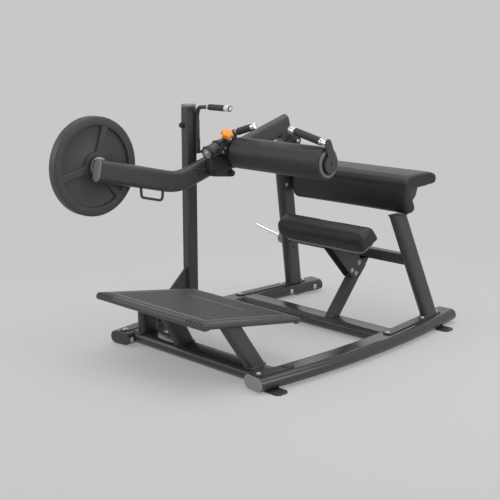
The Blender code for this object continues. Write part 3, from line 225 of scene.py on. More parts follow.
GREY_CAP = moulded("grey_end_cap", (0.22, 0.22, 0.225), 0.46)
PALE_COLLAR_AND_CHROME_REFLECTION = moulded("pale_collar_and_painted_reflection", (0.62, 0.62, 0.63), 0.30)
RUBBER = moulded("black_rubber", (0.016, 0.016, 0.017), 0.62, 0.00015)
GRIP_RUBBER = moulded("grip_rubber", (0.034, 0.034, 0.035), 0.52, 0.00015)
BUSH = moulded("bush_resin", (0.15, 0.15, 0.153), 0.38)
# A pale resin whose tone paints the highlight on the mat's ridge lines.
RIDGE_HIGHLIGHT_PAINT = moulded("painted_ridge_highlight", (0.13, 0.13, 0.132), 0.36)
BOARD = moulded("board_resin", (0.030, 0.030, 0.031), 0.52)
ORANGE = moulded("orange_knob_resin", (0.86, 0.30, 0.035), 0.34)
PLATE = moulded("plate_rubber", (0.040, 0.043, 0.045), 0.48, 0.00025, 380.0)
print("mouldings made")

# %% [markdown]
# The pads wear a black vinyl with a pebble grain. A Voronoi cell is one pebble, and broad soft creases come
# from a low noise. The pads have no welts, so these two are all that breaks the sheen up.

# %% Vinyl
def vinyl(name, tone, roughness):
    cover = Finish(name)
    pebble = cover.node("ShaderNodeTexVoronoi", {}, {"Vector": cover.place, "Scale": 620.0}, out="Distance")
    crease = cover.noise(scale=9.0, detail=3.0)
    soft = cover.bump(crease, distance=0.0012, strength=0.5)
    grain = cover.bump(pebble, distance=0.00022, strength=0.8, under=soft)
    return cover.finished(base_color=cover.blend(pebble * 0.6 + crease * 0.4, tone, scaled(tone, 1.5)),
                         roughness=roughness - 0.05 + crease * 0.10, normal=grain)


VINYL = vinyl("black_vinyl", (0.008, 0.008, 0.0085), 0.44)
ROLLER_VINYL = vinyl("roller_vinyl", (0.021, 0.021, 0.022), 0.52)
print("vinyl made")

# %% [markdown]
# Each node of the frame gets the finish that it has on the machine, save the far rail's front cap: it takes
# the charcoal coat instead of the grey cap, as painted shade for the platform's shadow. The mesh of a node is
# loose triangles, so a copy is merged, its flat faces are joined again and its sharp edges get a small round:
# a pressed or cut edge is never razor sharp, and the round is what catches the light. The copy then stands
# for the node.

# %% Copies of the frame's nodes with rounded edges
MERGE = 0.00002
FLAT_ANGLE, SMOOTH_ANGLE = radians(0.6), radians(32)
EDGE = 0.0008


def merged_copy(node):
    """The mesh of a node as a bmesh, with the loose triangles joined at their corners."""
    work = bmesh.new()
    work.from_mesh(frame["nodes"][node].data)
    bmesh.ops.remove_doubles(work, verts=work.verts, dist=MERGE)
    return work


def object_of(name, work, finish):
    """Ends a bmesh: it becomes the mesh of a new object in the scene."""
    mesh = bpy.data.meshes.new(name)
    work.to_mesh(mesh)
    work.free()
    mesh.materials.append(finish)
    piece = bpy.data.objects.new(name, mesh)
    bpy.context.scene.collection.objects.link(piece)
    return piece


def rounded(piece, width):
    edge = piece.modifiers.new("rounded edge", "BEVEL")
    edge.width = width
    edge.segments = 2
    edge.limit_method = "ANGLE"
    edge.angle_limit = SMOOTH_ANGLE


def dressed(node, finish):
    work = merged_copy(node)
    bmesh.ops.dissolve_limit(work, angle_limit=FLAT_ANGLE, verts=work.verts, edges=work.edges)
    piece = object_of(node + "_dressed", work, finish)
    piece.data.shade_smooth()
    rounded(piece, EDGE)
    even = piece.modifiers.new("even shading", "WEIGHTED_NORMAL")
    even.keep_sharp = True
    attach(piece, frame["nodes"][node]["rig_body"])
    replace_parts(piece, node)
    return piece


COAT_NODES = [
    "foot_left_front", "foot_left_rear", "foot_right_front", "foot_right_rear", "upright_left",
    "upright_right", "rear_cross_bar", "pivot_housing", "tall_post", "release_barrel", "catch_arm",
    # rail_cap_right_front, the far rail's front cap, takes the charcoal coat here instead of the grey cap:
    # painted shade of the platform's shadow
    "rest_lug", "lever_arm", "loop_handle", "hub_bracket", "carriage_hub", "rail_cap_right_front",
    "release_rod", "hook_plate", "platform_leg_left", "platform_leg_middle", "platform_leg_right",
    "seat_post", "seat_bracket", "back_bracket_left", "back_bracket_right"]
OTHER_NODES = {
    "rail_left": RAIL_COAT, "rail_right": RAIL_COAT, "front_cross_tube": RAIL_COAT,
    "middle_cross_tube": RAIL_COAT, "platform": DECK_COAT, "pivot_axle": STEEL,
    "pivot_bearing_outer": STEEL, "pivot_bearing_inner": STEEL, "post_cap": GREY_CAP,
    "rail_cap_left_front": GREY_CAP, "rail_cap_left_rear": GREY_CAP, "rail_cap_right_rear": GREY_CAP,
    "lever_front_cap": GREY_CAP, "catch_bumper": RUBBER, "plate_horn": STEEL, "hub_spindle": DARK_COAT,
    "pop_pin": STEEL, "pop_knob": ORANGE, "roller_shaft": CHROME, "roller_bush_left": BUSH,
    "roller_bush_right": BUSH, "handle_bar_left": CHROME, "handle_bar_right": CHROME, "seat_board": BUSH,
    "back_board": BOARD, "storage_flange": BUSH, "storage_horn": CHROME}
pieces = {node: dressed(node, COAT) for node in COAT_NODES}
pieces.update((node, dressed(node, finish)) for node, finish in OTHER_NODES.items())
print(len(pieces), "nodes dressed")

# %% [markdown]
# A pad is foam under stretched vinyl. The solid in the frame has its outline, so a copy is drawn in a
# little, remeshed into small even faces and blown up by Cloth with a gentle pressure and no gravity. How
# far a point may move is capped, so the pad keeps the place and the crisp ends that upholstery over a board
# has.

# %% Pads from the frame's soft solids
PRESSURE = 4.0
CLOTH_FRAMES = 20


def applied(piece):
    """Turns what the modifiers make into the piece's own mesh."""
    graph = bpy.context.evaluated_depsgraph_get()
    fresh = bpy.data.meshes.new_from_object(piece.evaluated_get(graph))
    piece.modifiers.clear()
    old = piece.data
    piece.data = fresh
    bpy.data.meshes.remove(old)
    fresh.name = piece.name


def blow_up(piece, cap):
    """Runs the cloth and keeps each point within the cap of where it started."""
    origins = [vert.co.copy() for vert in piece.data.vertices]
    cloth = piece.modifiers.new("stretched vinyl", "CLOTH")
    cloth.settings.use_pressure = True
    cloth.settings.uniform_pressure_force = PRESSURE
    cloth.settings.effector_weights.gravity = 0.0
    cloth.settings.quality = 5
    cloth.point_cache.frame_start = 1
    cloth.point_cache.frame_end = CLOTH_FRAMES
    for step in range(1, CLOTH_FRAMES + 1):
        bpy.context.scene.frame_set(step)
    applied(piece)
    bpy.context.scene.frame_set(1)
    for vert, origin in zip(piece.data.vertices, origins):
        moved = vert.co - origin
        if moved.length > cap:
            vert.co = origin + moved * (cap / moved.length)


def foam_pad(node, shrink, cap, name, finish=VINYL, voxel=0.005):
    work = merged_copy(node)
    bmesh.ops.recalc_face_normals(work, faces=work.faces)
    for vert, normal in [(vert, vert.normal.copy()) for vert in work.verts]:
        vert.co -= normal * shrink
    piece = object_of(name, work, finish)
    remesh = piece.modifiers.new("even faces", "REMESH")
    remesh.mode = "VOXEL"
    remesh.voxel_size = voxel
    applied(piece)
    blow_up(piece, cap)
    smooth = piece.modifiers.new("soft skin", "SMOOTH")
    smooth.factor = 0.5
    smooth.iterations = 4
    applied(piece)
    piece.data.shade_smooth()
    finer = piece.modifiers.new("finer skin", "SUBSURF")
    finer.levels = 1
    finer.render_levels = 1
    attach(piece, frame["nodes"][node]["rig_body"])
    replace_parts(piece, node)


print("cloth ready")

# %% [markdown]
# Three pads are made. The back pad is the widest, so its faces may be a little larger, and the roller's vinyl
# is paler and duller than the black of the other two.

# %% The three pads
foam_pad("seat_pad", 0.0025, 0.0035, "seat_pad_vinyl")
foam_pad("back_pad", 0.0015, 0.0025, "back_pad_vinyl", voxel=0.006)
foam_pad("roller_foam", 0.001, 0.002, "roller_pad_vinyl", ROLLER_VINYL)
print("pads made")

# %% [markdown]
# The fine pieces are measured from the machine's own zero: the middle between the rails, the tall post and
# the floor. Turned shapes come from one small lathe, which spins a profile of radii and heights.

# %% A lathe
MACHINE = Vector((0.0454, -0.0691, 0.0))
NEAR = 0.00003
ROUND = 48


def at(x, y, z):
    return MACHINE + Vector((x, y, z))


def stood(foot, axis):
    """The matrix that stands a shape on a point, with its Z along an axis."""
    return Matrix.Translation(foot) @ Vector(axis).to_track_quat("Z", "Y").to_matrix().to_4x4()


def lathe(work, profile, foot, axis, steps=ROUND):
    place = stood(foot, axis)
    points = [work.verts.new(place @ Vector((radius, 0, height))) for radius, height in profile]
    edges = [work.edges.new(pair) for pair in zip(points, points[1:])]
    bmesh.ops.spin(work, geom=points + edges, cent=foot, axis=axis, angle=2 * pi, steps=steps,
                   use_merge=True)


def new_piece(name, work, finish, body="frame"):
    bmesh.ops.remove_doubles(work, verts=work.verts, dist=NEAR)
    bmesh.ops.recalc_face_normals(work, faces=work.faces)
    piece = object_of(name, work, finish)
    piece.data.shade_smooth()
    piece.data.set_sharp_from_angle(angle=SMOOTH_ANGLE)
    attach(piece, body)
    return piece


def turned(name, profile, foot, axis, finish, body="frame", steps=ROUND):
    """A piece that is one turned shape."""
    work = bmesh.new()
    lathe(work, profile, foot, axis, steps)
    return new_piece(name, work, finish, body)


print("machine's zero", MACHINE)

# %% [markdown]
# A bolt is a washer under a button head. Six steps of the same spin make the hexagon of its socket, and a
# bridge joins that socket to the round head. Where a shape has no axis, rings of points are laid along it
# and skinned with faces.

# %% Bolts and skins
HEXAGON = 6


def bolt(work, foot, axis, size):
    """A washer under a button head with a hexagon socket; the size is the head's radius."""
    rim, thick, high = size * 1.45, size * 0.2, size * 0.62
    top = thick + high
    mouth_radius, socket_radius = size * 0.5, size * 0.46
    lathe(work, [(0, 0), (rim, 0), (rim, thick * 0.7), (rim * 0.95, thick), (size, thick),
                 (size, thick + high * 0.4), (size * 0.9, thick + high * 0.75), (size * 0.62, top),
                 (mouth_radius, top)], foot, axis)
    lathe(work, [(socket_radius, top), (size * 0.42, thick + high * 0.92), (size * 0.42, thick), (0, thick)],
          foot, axis, HEXAGON)
    raised = stood(foot, axis) @ Matrix.Translation((0, 0, top))
    turn = Matrix.Rotation(pi / HEXAGON, 4, "Z")
    mouth = bmesh.ops.create_circle(work, segments=ROUND, radius=mouth_radius, matrix=raised)["verts"]
    socket = bmesh.ops.create_circle(work, segments=HEXAGON, radius=socket_radius,
                                     matrix=raised @ turn)["verts"]
    rings = dict.fromkeys(edge for vert in mouth + socket for edge in vert.link_edges)
    bmesh.ops.bridge_loops(work, edges=list(rings))


def bolts(name, places, finish=ZINC, body="frame"):
    """A piece of bolts, each with its foot, its axis and its size."""
    work = bmesh.new()
    for foot, axis, size in places:
        bolt(work, foot, axis, size)
    new_piece(name, work, finish, body)


def skin(work, rings, closed=False, capped=True):
    """Faces from each ring of points to the next; closed goes back to the first, capped covers the ends."""
    pairs = list(zip(rings, rings[1:]))
    if closed:
        pairs.append((rings[-1], rings[0]))
    for here, there in pairs:
        for k in range(len(here)):
            work.faces.new((here[k - 1], here[k], there[k], there[k - 1]))
    if capped:
        work.faces.new(rings[0])
        work.faces.new(rings[-1])


print("bolts and skins ready")

# %% [markdown]
# The bolts sit where the photograph shows them: on the long shoes of the uprights, on the inner flanks of
# the rails, on the cheeks of the seat bracket and on the tall post.

# %% Bolts of the frame
BOW_RADIUS, BOW_X, BOW_Y = 4.5, 0.484, 0.235
RAIL_HALF, RAIL_MIDDLE, RAIL_ROUND = 0.060, 0.036, 0.030
SHOE_TOP = 0.072
FAR_CHEEK, NEAR_CHEEK = 0.0847, 0.1453


def rail_x(y):
    """The bowed rail's centre line: an arc with the middle cross tube near its widest point."""
    return BOW_X - BOW_RADIUS + sqrt(BOW_RADIUS ** 2 - (y - BOW_Y) ** 2)


places = []
for side in (-1, 1):
    places += [(at(side * x, y, SHOE_TOP), Z, 0.0085)
               for x, y in ((0.4795, 0.380), (0.459, 0.688), (0.4385, 0.829))]
    places += [(at(side * (rail_x(y) - RAIL_HALF), y, RAIL_MIDDLE), -X * side, 0.0095)
               for y in (0.700, 0.868, -0.4385)]
for y, z in ((0.585, 0.312), (0.530, 0.281), (0.562, 0.262)):
    places += [(at(NEAR_CHEEK, y, z), X, 0.008), (at(FAR_CHEEK, y, z), -X, 0.008)]
places += [(at(0.215, 0.672, 0.325), -Z, 0.007), (at(-0.3133, 0.558, 0.652), X, 0.008)]
bolts("frame_bolts", places)

work = bmesh.new()
lathe(work, [(0, 0), (0.0150, 0), (0.0150, 0.003), (0.0115, 0.005), (0.0115, 0.012), (0.0095, 0.0145),
             (0, 0.0150)], at(-0.4575, -0.030, 0.990), -Y)
lathe(work, [(0, -0.002), (0.0085, -0.002), (0.0085, 0.0006), (0.0072, 0.0012), (0, 0.0012)],
      at(-0.3812, 0.6925, 0.289), Vector((1, 0, -0.17)))
new_piece("post_bumper_and_plug", work, RUBBER)
print("bolts made")

# %% [markdown]
# Joint plates lap over the rails where the front cross tube meets them. A pressed plate of 4.5 mm with
# clipped corners follows the rail's curve, a shorter one lies on its rear end, and one bolt holds the front.

# %% Joint plates at the front
PLATE_STATIONS = 9
CLIP = 0.012


def plate_on_rail(work, side, front, rear, inner, outer, low, high):
    rows = []
    for k in range(PLATE_STATIONS):
        y = front + (rear - front) * k / (PLATE_STATIONS - 1)
        clip = CLIP if k in (0, PLATE_STATIONS - 1) else 0.0
        corners = ((inner + clip, low), (inner + clip, high), (outer - clip, high), (outer - clip, low))
        rows.append([work.verts.new(at(side * (rail_x(y) + offset), y, z)) for offset, z in corners])
    skin(work, rows)


work = bmesh.new()
for side in (-1, 1):
    plate_on_rail(work, side, -0.452, -0.262, -0.028, 0.024, 0.0660, 0.0705)
    plate_on_rail(work, side, -0.300, -0.250, -0.020, 0.014, 0.0700, 0.0735)
plates = new_piece("front_joint_plates", work, COAT)
soften = plates.modifiers.new("rounded edge", "BEVEL")
soften.width = 0.0012
soften.segments = 2
bolts("joint_plate_bolts",
      [(at(side * (rail_x(-0.432) - 0.004), -0.432, 0.0705), Z, 0.0085) for side in (-1, 1)])
print("joint plates made")

# %% [markdown]
# Every steel joint is welded. A bump could hint at a weld, but a real bead catches the light on each of its
# ripples, so it is a skin of half-round rings that swell and shrink along the seam.

# %% Weld beads
def bead(work, path, normals, size=0.0028, closed=True):
    """A weld: a half-round seam whose ripples lie one on the next."""
    rings = []
    count = len(path)
    for index, (point, normal) in enumerate(zip(path, normals)):
        last, following = index - 1, (index + 1) % count
        if not closed:
            last, following = max(index - 1, 0), min(index + 1, count - 1)
        along = (path[following] - path[last]).normalized()
        side = along.cross(normal).normalized()
        swell = size * (0.82 + 0.18 * abs(cos(index * pi / 3)))
        rings.append([work.verts.new(point + side * swell * 1.25 * cos(a) + normal * swell * sin(a))
                      for a in (-0.5, 0.2, 0.9, pi / 2, pi - 0.9, pi - 0.2, pi + 0.5)])
    skin(work, rings, closed, capped=not closed)


print("bead ready")

# %% [markdown]
# The welds round the feet of the uprights and of the platform's legs follow a flat oval. Over the coped end
# of a cross tube the weld lies where that flat-oval end meets the rail's round flank, which a short formula
# gives.

# %% Welds at the feet and the cross tubes
COPE_STEPS = 48


def oval_path(width, depth, centre, steps=72):
    """Points round a flat oval that is longer along Y, and the way out at each."""
    radius, straight = width / 2, (depth - width) / 2
    points = []
    for step in range(steps):
        angle = 2 * pi * step / steps
        way = Vector((cos(angle), sin(angle), 0))
        points.append((centre + way * radius + Y * (straight if sin(angle) >= 0 else -straight), way))
    return points


def foot_weld(work, width, depth, centre):
    ring = oval_path(width, depth, centre)
    bead(work, [point for point, way in ring], [(way + Z).normalized() for point, way in ring])


def cope_weld(work, side, tube_y):
    """The weld over the flat-oval end of a cross tube, on the rail's round flank."""
    path, outs = [], []
    for step in range(COPE_STEPS + 1):
        angle = pi * step / COPE_STEPS
        straight = RAIL_ROUND if cos(angle) >= 0 else -RAIL_ROUND
        y, z = tube_y + RAIL_ROUND * cos(angle) + straight, RAIL_MIDDLE + RAIL_ROUND * sin(angle)
        x = rail_x(y) - RAIL_ROUND - sqrt(max(0.0, RAIL_ROUND ** 2 - (z - RAIL_MIDDLE) ** 2))
        path.append(at(side * x, y, z))
        outs.append(Vector((-side * 0.7, 0.7 * cos(angle), 0.7 * sin(angle))).normalized())
    bead(work, path, outs, 0.0026, closed=False)


work = bmesh.new()
for side in (-1, 1):
    foot_weld(work, 0.050, 0.104, at(side * 0.4440, 0.7620, SHOE_TOP))
for x, y in ((0.340, -0.3595), (-0.100, -0.3595), (-0.350, -0.3600)):
    foot_weld(work, 0.050, 0.106, at(x, y, 0.0662))
for side in (-1, 1):
    for tube_y in (-0.360, 0.420):
        cope_weld(work, side, tube_y)
new_piece("weld_beads", work, COAT)
print("welds made")

# %% [markdown]
# The hub is the machine's finest place. Its front wears a seal ring, a cover and a bolt, a collar with
# dowels marks the pin, and a trapezoid gusset ties the hub bracket down to the lever's flank.

# %% Front of the hub
HUB = at(-0.295, -0.012, 0.872)
ALONG = Vector((0.0, 0.9590412, 0.2832665))
OVER = X.cross(ALONG)
PIN_WAY = Vector((0.601815, -0.2262267, 0.7659243))
PIN_FOOT = HUB + ALONG * 0.098

work = bmesh.new()
lathe(work, [(0.0250, 0), (0.0330, 0), (0.0336, 0.001), (0.0336, 0.0035), (0.0320, 0.005), (0.0262, 0.005),
             (0.0250, 0.004), (0.0250, 0)], HUB - ALONG * 0.0095, -ALONG)
lathe(work, [(0.0325, 0), (0.0368, 0), (0.0372, 0.0006), (0.0372, 0.0168), (0.0366, 0.0174),
             (0.0325, 0.0174)], HUB + ALONG * 0.052, ALONG)
for turn in (-0.5, 0.35, 1.2, 2.0, 3.2, 4.2):
    way = X * sin(turn) + OVER * cos(turn)
    lathe(work, [(0.0050, 0), (0.0042, 0.0006), (0.0042, 0.0028), (0, 0.0028)],
          HUB + ALONG * 0.0607 + way * 0.0366, way, 24)
new_piece("hub_seal_and_collar", work, DARK_COAT, "carriage")
turned("hub_cover", [(0, 0.0), (0.0250, 0.0), (0.0250, 0.0025), (0.0238, 0.0036), (0.0135, 0.0036),
                     (0.0128, 0.0026), (0, 0.0026)], HUB - ALONG * 0.0102, -ALONG, GREY_CAP, "lever")
bolts("hub_cover_bolt", [(HUB - ALONG * 0.0128, -ALONG, 0.0082)], body="lever")
bolts("flank_screws", [(at(-0.2564, y, z), X, 0.0046) for y, z in ((0.046, 0.872), (0.062, 0.889),
                                                                   (0.100, 0.874))], body="carriage")
print("hub made")

# %% [markdown]
# The gusset is cut from thick plate. Its outline is drawn on the lever's flank as one face, and an extrude
# gives it its thickness. Three lesser plates stand on the flank in front of it, and two rubber stops on it.

# %% Gusset and its stops
FLANK_X = -0.3349


def prism(work, outline, face_x):
    """A plate on the lever's flank, out to face_x, with an outline of (y, z) points."""
    face = work.faces.new([work.verts.new(at(FLANK_X, y, z)) for y, z in outline])
    grown = bmesh.ops.extrude_face_region(work, geom=[face])["geom"]
    verts = [item for item in grown if isinstance(item, bmesh.types.BMVert)]
    bmesh.ops.translate(work, verts=verts, vec=X * (face_x - FLANK_X))


work = bmesh.new()
prism(work, [(0.018, 0.834), (0.112, 0.838), (0.150, 0.796), (0.168, 0.752), (0.150, 0.738), (0.030, 0.752),
             (0.008, 0.790)], -0.3080)
prism(work, [(0.010, 0.842), (0.040, 0.850), (0.040, 0.800), (0.010, 0.792)], -0.3000)
prism(work, [(-0.056, 0.7985), (0.028, 0.7920), (0.028, 0.7830), (-0.056, 0.7895)], -0.3260)
prism(work, [(-0.042, 0.7715), (0.030, 0.7670), (0.030, 0.7590), (-0.042, 0.7635)], -0.3260)
rounded(new_piece("hub_gusset", work, COAT, "lever"), 0.002)

work = bmesh.new()
lathe(work, [(0, 0), (0.0135, 0), (0.0150, 0.0015), (0.0150, 0.0130), (0.0125, 0.0165), (0.0060, 0.0180),
             (0, 0.0180)], at(-0.3080, 0.146, 0.757), X)
lathe(work, [(0, 0), (0.0100, 0), (0.0110, 0.0015), (0.0110, 0.0090), (0.0080, 0.0110), (0, 0.0110)],
      at(-0.3080, 0.028, 0.770), X)
new_piece("gusset_stops", work, RUBBER, "lever")
print("gusset made")

# %% [markdown]
# The pop pin's nut is a spin of six steps. The knob has a sunk centre and a small boss at the root of each
# of its six lobes.

# %% Nut and knob
KNOB_TOP = PIN_FOOT + PIN_WAY * 0.0855
LOBES = 6

turned("pin_nut", [(0.0098, 0), (0.0158, 0), (0.0162, 0.0006), (0.0162, 0.0060), (0.0158, 0.0066),
                   (0.0098, 0.0066)], PIN_FOOT + PIN_WAY * 0.0520, PIN_WAY, STEEL, "carriage", HEXAGON)
work = bmesh.new()
lathe(work, [(0, -0.001), (0.0150, -0.001), (0.0150, 0.0006), (0.0140, 0.0022), (0.0085, 0.0022),
             (0.0075, 0.0008), (0.0035, 0.0008), (0.0030, 0.0016), (0, 0.0018)], KNOB_TOP, PIN_WAY)
for k in range(LOBES):
    angle = 2 * pi * k / LOBES
    out = ALONG * cos(angle) + PIN_WAY.cross(ALONG) * sin(angle)
    lathe(work, [(0, -0.001), (0.0040, -0.001), (0.0036, 0.0008), (0.0020, 0.0014), (0, 0.0015)],
          KNOB_TOP + out * 0.0215 - PIN_WAY * 0.0002, PIN_WAY, 20)
new_piece("knob_face", work, ORANGE, "pin")
print("knob made")

# %% [markdown]
# The grips are ribbed rubber sleeves, each rib a small turned ring. A bright collar starts each one and the
# bar's end shows past it as a polished cap, as on the photograph's three handles. On the release handle both
# are the pale collar resin: white for the collar, and a painted reflection for the chrome cap.

# %% Grips, collars and caps of the handles
RIB_PITCH = 0.0042
RIB_MARGIN = 0.0035


def ribs(length, bore, out):
    """The profile of a grip: plain ends and as many ribs between them as fit."""
    profile = [(bore, 0.0003), (out - 0.0006, 0.0003), (out, 0.0010), (out, 0.0030)]
    ribbed = length - 2 * RIB_MARGIN
    count = int(ribbed / RIB_PITCH)
    for k in range(count):
        low = RIB_MARGIN + k * ribbed / count
        profile += [(out - 0.0011, low + 0.0004), (out - 0.0003, low + 0.0011),
                    (out - 0.0002, low + RIB_PITCH * 0.7), (out - 0.0011, low + RIB_PITCH * 0.9)]
    return profile + [(out, length - 0.0030), (out, length - 0.0010), (out - 0.0006, length - 0.0003),
                      (bore, length - 0.0003), (bore, 0.0003)]


def handle(name, node, start, end, tip, bore, out, cap_finish, body):
    """A ribbed grip from start to end, the collar before it and the cap that reaches to the tip."""
    way = (end - start).normalized()
    grip = turned(name + "_ribbed_grip", ribs((end - start).length, bore, out), start, way, GRIP_RUBBER, body)
    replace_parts(grip, node)
    reach = (tip - end).length
    work = bmesh.new()
    lathe(work, [(bore, 0.0003), (out - 0.0012, 0.0003), (out - 0.0006, 0.0010),
                 (out - 0.0006, reach - 0.0050), (out - 0.0014, reach - 0.0022),
                 (out - 0.0036, reach - 0.0004), (out - 0.0060, reach + 0.0004), (0, reach + 0.0006)],
          end, way)
    lathe(work, [(bore - 0.0004, -0.0070), (out - 0.0010, -0.0070), (out - 0.0004, -0.0062),
                 (out - 0.0004, -0.0010), (out - 0.0010, -0.0002), (bore - 0.0004, -0.0002)], start, way)
    new_piece(name + "_handle_caps", work, cap_finish, body)


print("grip and caps ready")

# %% [markdown]
# The carriage's two handles lean inward over the roller, and the release handle lies level beside the post's
# top. Each is given by the two ends of its bar, and the grip takes the middle share of it.

# %% The three handles
LEFT_FOOT, LEFT_TIP = at(0.3217, 0.110, 0.954), at(0.090, 0.126, 1.000)
RIGHT_FOOT, RIGHT_TIP = at(-0.2522, 0.124, 0.960), at(-0.113, 0.116, 1.000)
RELEASE_START, RELEASE_END, RELEASE_TIP = (at(x, -0.030, 1.087) for x in (-0.269, -0.165, -0.132))
handle("left", "handle_grip_left", LEFT_FOOT.lerp(LEFT_TIP, 0.16), LEFT_FOOT.lerp(LEFT_TIP, 0.84), LEFT_TIP,
       0.0128, 0.0175, SATIN_CHROME, "carriage")
handle("right", "handle_grip_right", RIGHT_FOOT.lerp(RIGHT_TIP, 0.14), RIGHT_FOOT.lerp(RIGHT_TIP, 0.82),
       RIGHT_TIP, 0.0128, 0.0175, SATIN_CHROME, "carriage")
# The release handle's white collar and its chrome cap share the pale resin; on the cap it is a painted
# reflection.
handle("release", "release_grip", RELEASE_START, RELEASE_END, RELEASE_TIP, 0.0078, 0.0145, PALE_COLLAR_AND_CHROME_REFLECTION,
       "release")
print("grips made")

# %% [markdown]
# At the roller's near end a pale ring shows behind the hook plate. Inside it a thin flat disc of black rubber
# paints the shade of the recess. The pivot's axle has a bright domed bolt at both ends, and a dark washer
# under the inner one.

# %% Roller ring and pivot
INNER_END, OUTER_END = at(-0.3005, 0.620, 0.872), at(-0.3920, 0.620, 0.872)

# A flat black disc: painted shade standing in for the hollow of the roller's end.
turned("roller_painted_shade_disc", [(0.0190, 0), (0.0500, 0), (0.0505, 0.0006), (0.0500, 0.0012), (0.0190, 0.0012),
                         (0.0190, 0)], at(0.3203, 0.130, 0.864), X, RUBBER, "roller", 64)
turned("pivot_washer", [(0.0110, 0), (0.0210, 0), (0.0215, 0.0008), (0.0215, 0.0030), (0.0205, 0.0040),
                        (0.0120, 0.0040), (0.0110, 0.0032)], INNER_END, X, DARK_COAT)
bolts("pivot_bolts", [(INNER_END, X, 0.0105), (OUTER_END, -X, 0.0120)])
print("pivot made")

# %% [markdown]
# The platform slopes, so what lies on it is placed in its own directions: across, along from the front edge
# and up from the tread. A ridge is a skin of low sections along a path on that surface.

# %% Places on the deck
DECK_X, DECK_FRONT, DECK_TOP = -0.010, -0.650, 0.308
DECK_WAY = Vector((0, 0.590, -0.096)).normalized()
DECK_UP = X.cross(DECK_WAY)


def deck(x, along, high=0.0):
    """A point of the sloping deck, from its front edge."""
    return at(DECK_X + x, DECK_FRONT, DECK_TOP) + DECK_WAY * along + DECK_UP * high


def ridge(work, path, ups, half, high):
    """A low bar with sloping sides along a path that lies on a surface."""
    rows = []
    for index, (point, up) in enumerate(zip(path, ups)):
        along = (path[min(index + 1, len(path) - 1)] - path[max(index - 1, 0)]).normalized()
        side = along.cross(up).normalized()
        rows.append([work.verts.new(point + side * s * half + up * h)
                     for s, h in ((-1, -0.0005), (-0.6, high), (0.6, high), (1, -0.0005))])
    skin(work, rows)


def line(work, foot, tip, half, high):
    ridge(work, [foot, tip], [DECK_UP] * 2, half, high)


print("front edge of the deck", deck(0, 0))

# %% [markdown]
# The tread is a moulded mat over the frame's nine bars: fine low ribs run across it, a paler border line
# frames them and a shorter one crosses them; the pale tone of these lines is a painted highlight. A bump
# could draw the ribs, but it would be flat against a low light, so they are real.

# %% Mat of the platform
MAT_HIGH, MAT_HALF, MAT_START, MAT_END = 0.0036, 0.300, 0.050, 0.548
MAT_PITCH, MAT_MARGIN = 0.0124, 0.010
LINE_HALF, LINE_HIGH = 0.0036, 0.0050
BORDER_REACH = MAT_HALF + 0.002
MIDDLE_LINE, MIDDLE_REACH = 0.405, 0.180

work = bmesh.new()
sloped = Matrix((X, DECK_WAY, DECK_UP)).transposed().to_4x4()
middle = Matrix.Translation(deck(0, (MAT_START + MAT_END) / 2, MAT_HIGH / 2))
sized = Matrix.Diagonal((2 * MAT_HALF, MAT_END - MAT_START, MAT_HIGH - 0.0004, 1))
bmesh.ops.create_cube(work, size=1, matrix=middle @ sloped @ sized)
ribbed = MAT_END - MAT_START - 2 * MAT_MARGIN
count = int(ribbed / MAT_PITCH)
for k in range(count + 1):
    along = MAT_START + MAT_MARGIN + ribbed * k / count
    line(work, deck(-MAT_HALF + MAT_MARGIN, along, MAT_HIGH), deck(MAT_HALF - MAT_MARGIN, along, MAT_HIGH),
         0.0030, 0.0012)
new_piece("platform_mat", work, DECK_COAT)

work = bmesh.new()
for along, reach in ((MAT_START, BORDER_REACH), (MIDDLE_LINE, MIDDLE_REACH), (MAT_END, BORDER_REACH)):
    line(work, deck(-reach, along, 0.001), deck(reach, along, 0.001), LINE_HALF, LINE_HIGH)
for x in (-MAT_HALF, MAT_HALF):
    line(work, deck(x, MAT_START, 0.001), deck(x, MAT_END, 0.001), 0.0030, 0.0034)
# The pale resin of these lines is a painted highlight.
new_piece("platform_border", work, RIDGE_HIGHLIGHT_PAINT)
print(count + 1, "ribs on the mat")

# %% [markdown]
# Short grip ridges wrap over both ends of the front nose. Each is one path whose way up turns through a
# quarter circle round the nose, so the ridge stays as high all the way. Four small bolts hold the mat.

# %% Grips on the nose and screws of the mat
NOSE_ROUND = 0.009
NOSE_STEPS = 6
GRIPS_A_SIDE = 5

work = bmesh.new()
for side in (-1, 1):
    for k in range(GRIPS_A_SIDE):
        x = side * (0.326 - 0.020 * k)
        path = [deck(x, 0.044), deck(x, 0.011)]
        ups = [DECK_UP, DECK_UP]
        for step in range(NOSE_STEPS + 1):
            angle = pi / 2 + pi / 2 * step / NOSE_STEPS
            up = DECK_WAY * cos(angle) + DECK_UP * sin(angle)
            path.append(deck(x, NOSE_ROUND, -NOSE_ROUND) + up * NOSE_ROUND)
            ups.append(up)
        path.append(deck(x, 0.0, -0.022))
        ups.append(-DECK_WAY)
        ridge(work, path, ups, 0.0048, 0.0024)
new_piece("platform_nose_grips", work, DECK_COAT)
bolts("platform_screws", [(deck(x, along, MAT_HIGH), DECK_UP, 0.0050)
                          for x, along in ((0.233, 0.170), (-0.233, 0.170), (0.233, 0.430),
                                           (-0.233, 0.430))], COAT)
print("nose grips and screws made")

# %% [markdown]
# The loaded plate is a rubber-coated casting, turned finer than the frame's solid: a broad rim, three sunk
# fields between narrow spokes, and a raised hub with a steel sleeve.

# %% Weight plate
PLATE_AT = at(-0.4276, -0.585, 0.853)
RIM, FIELD, BOSS = 0.220, 0.180, 0.062
HALF, THIN = 0.0240, 0.0095

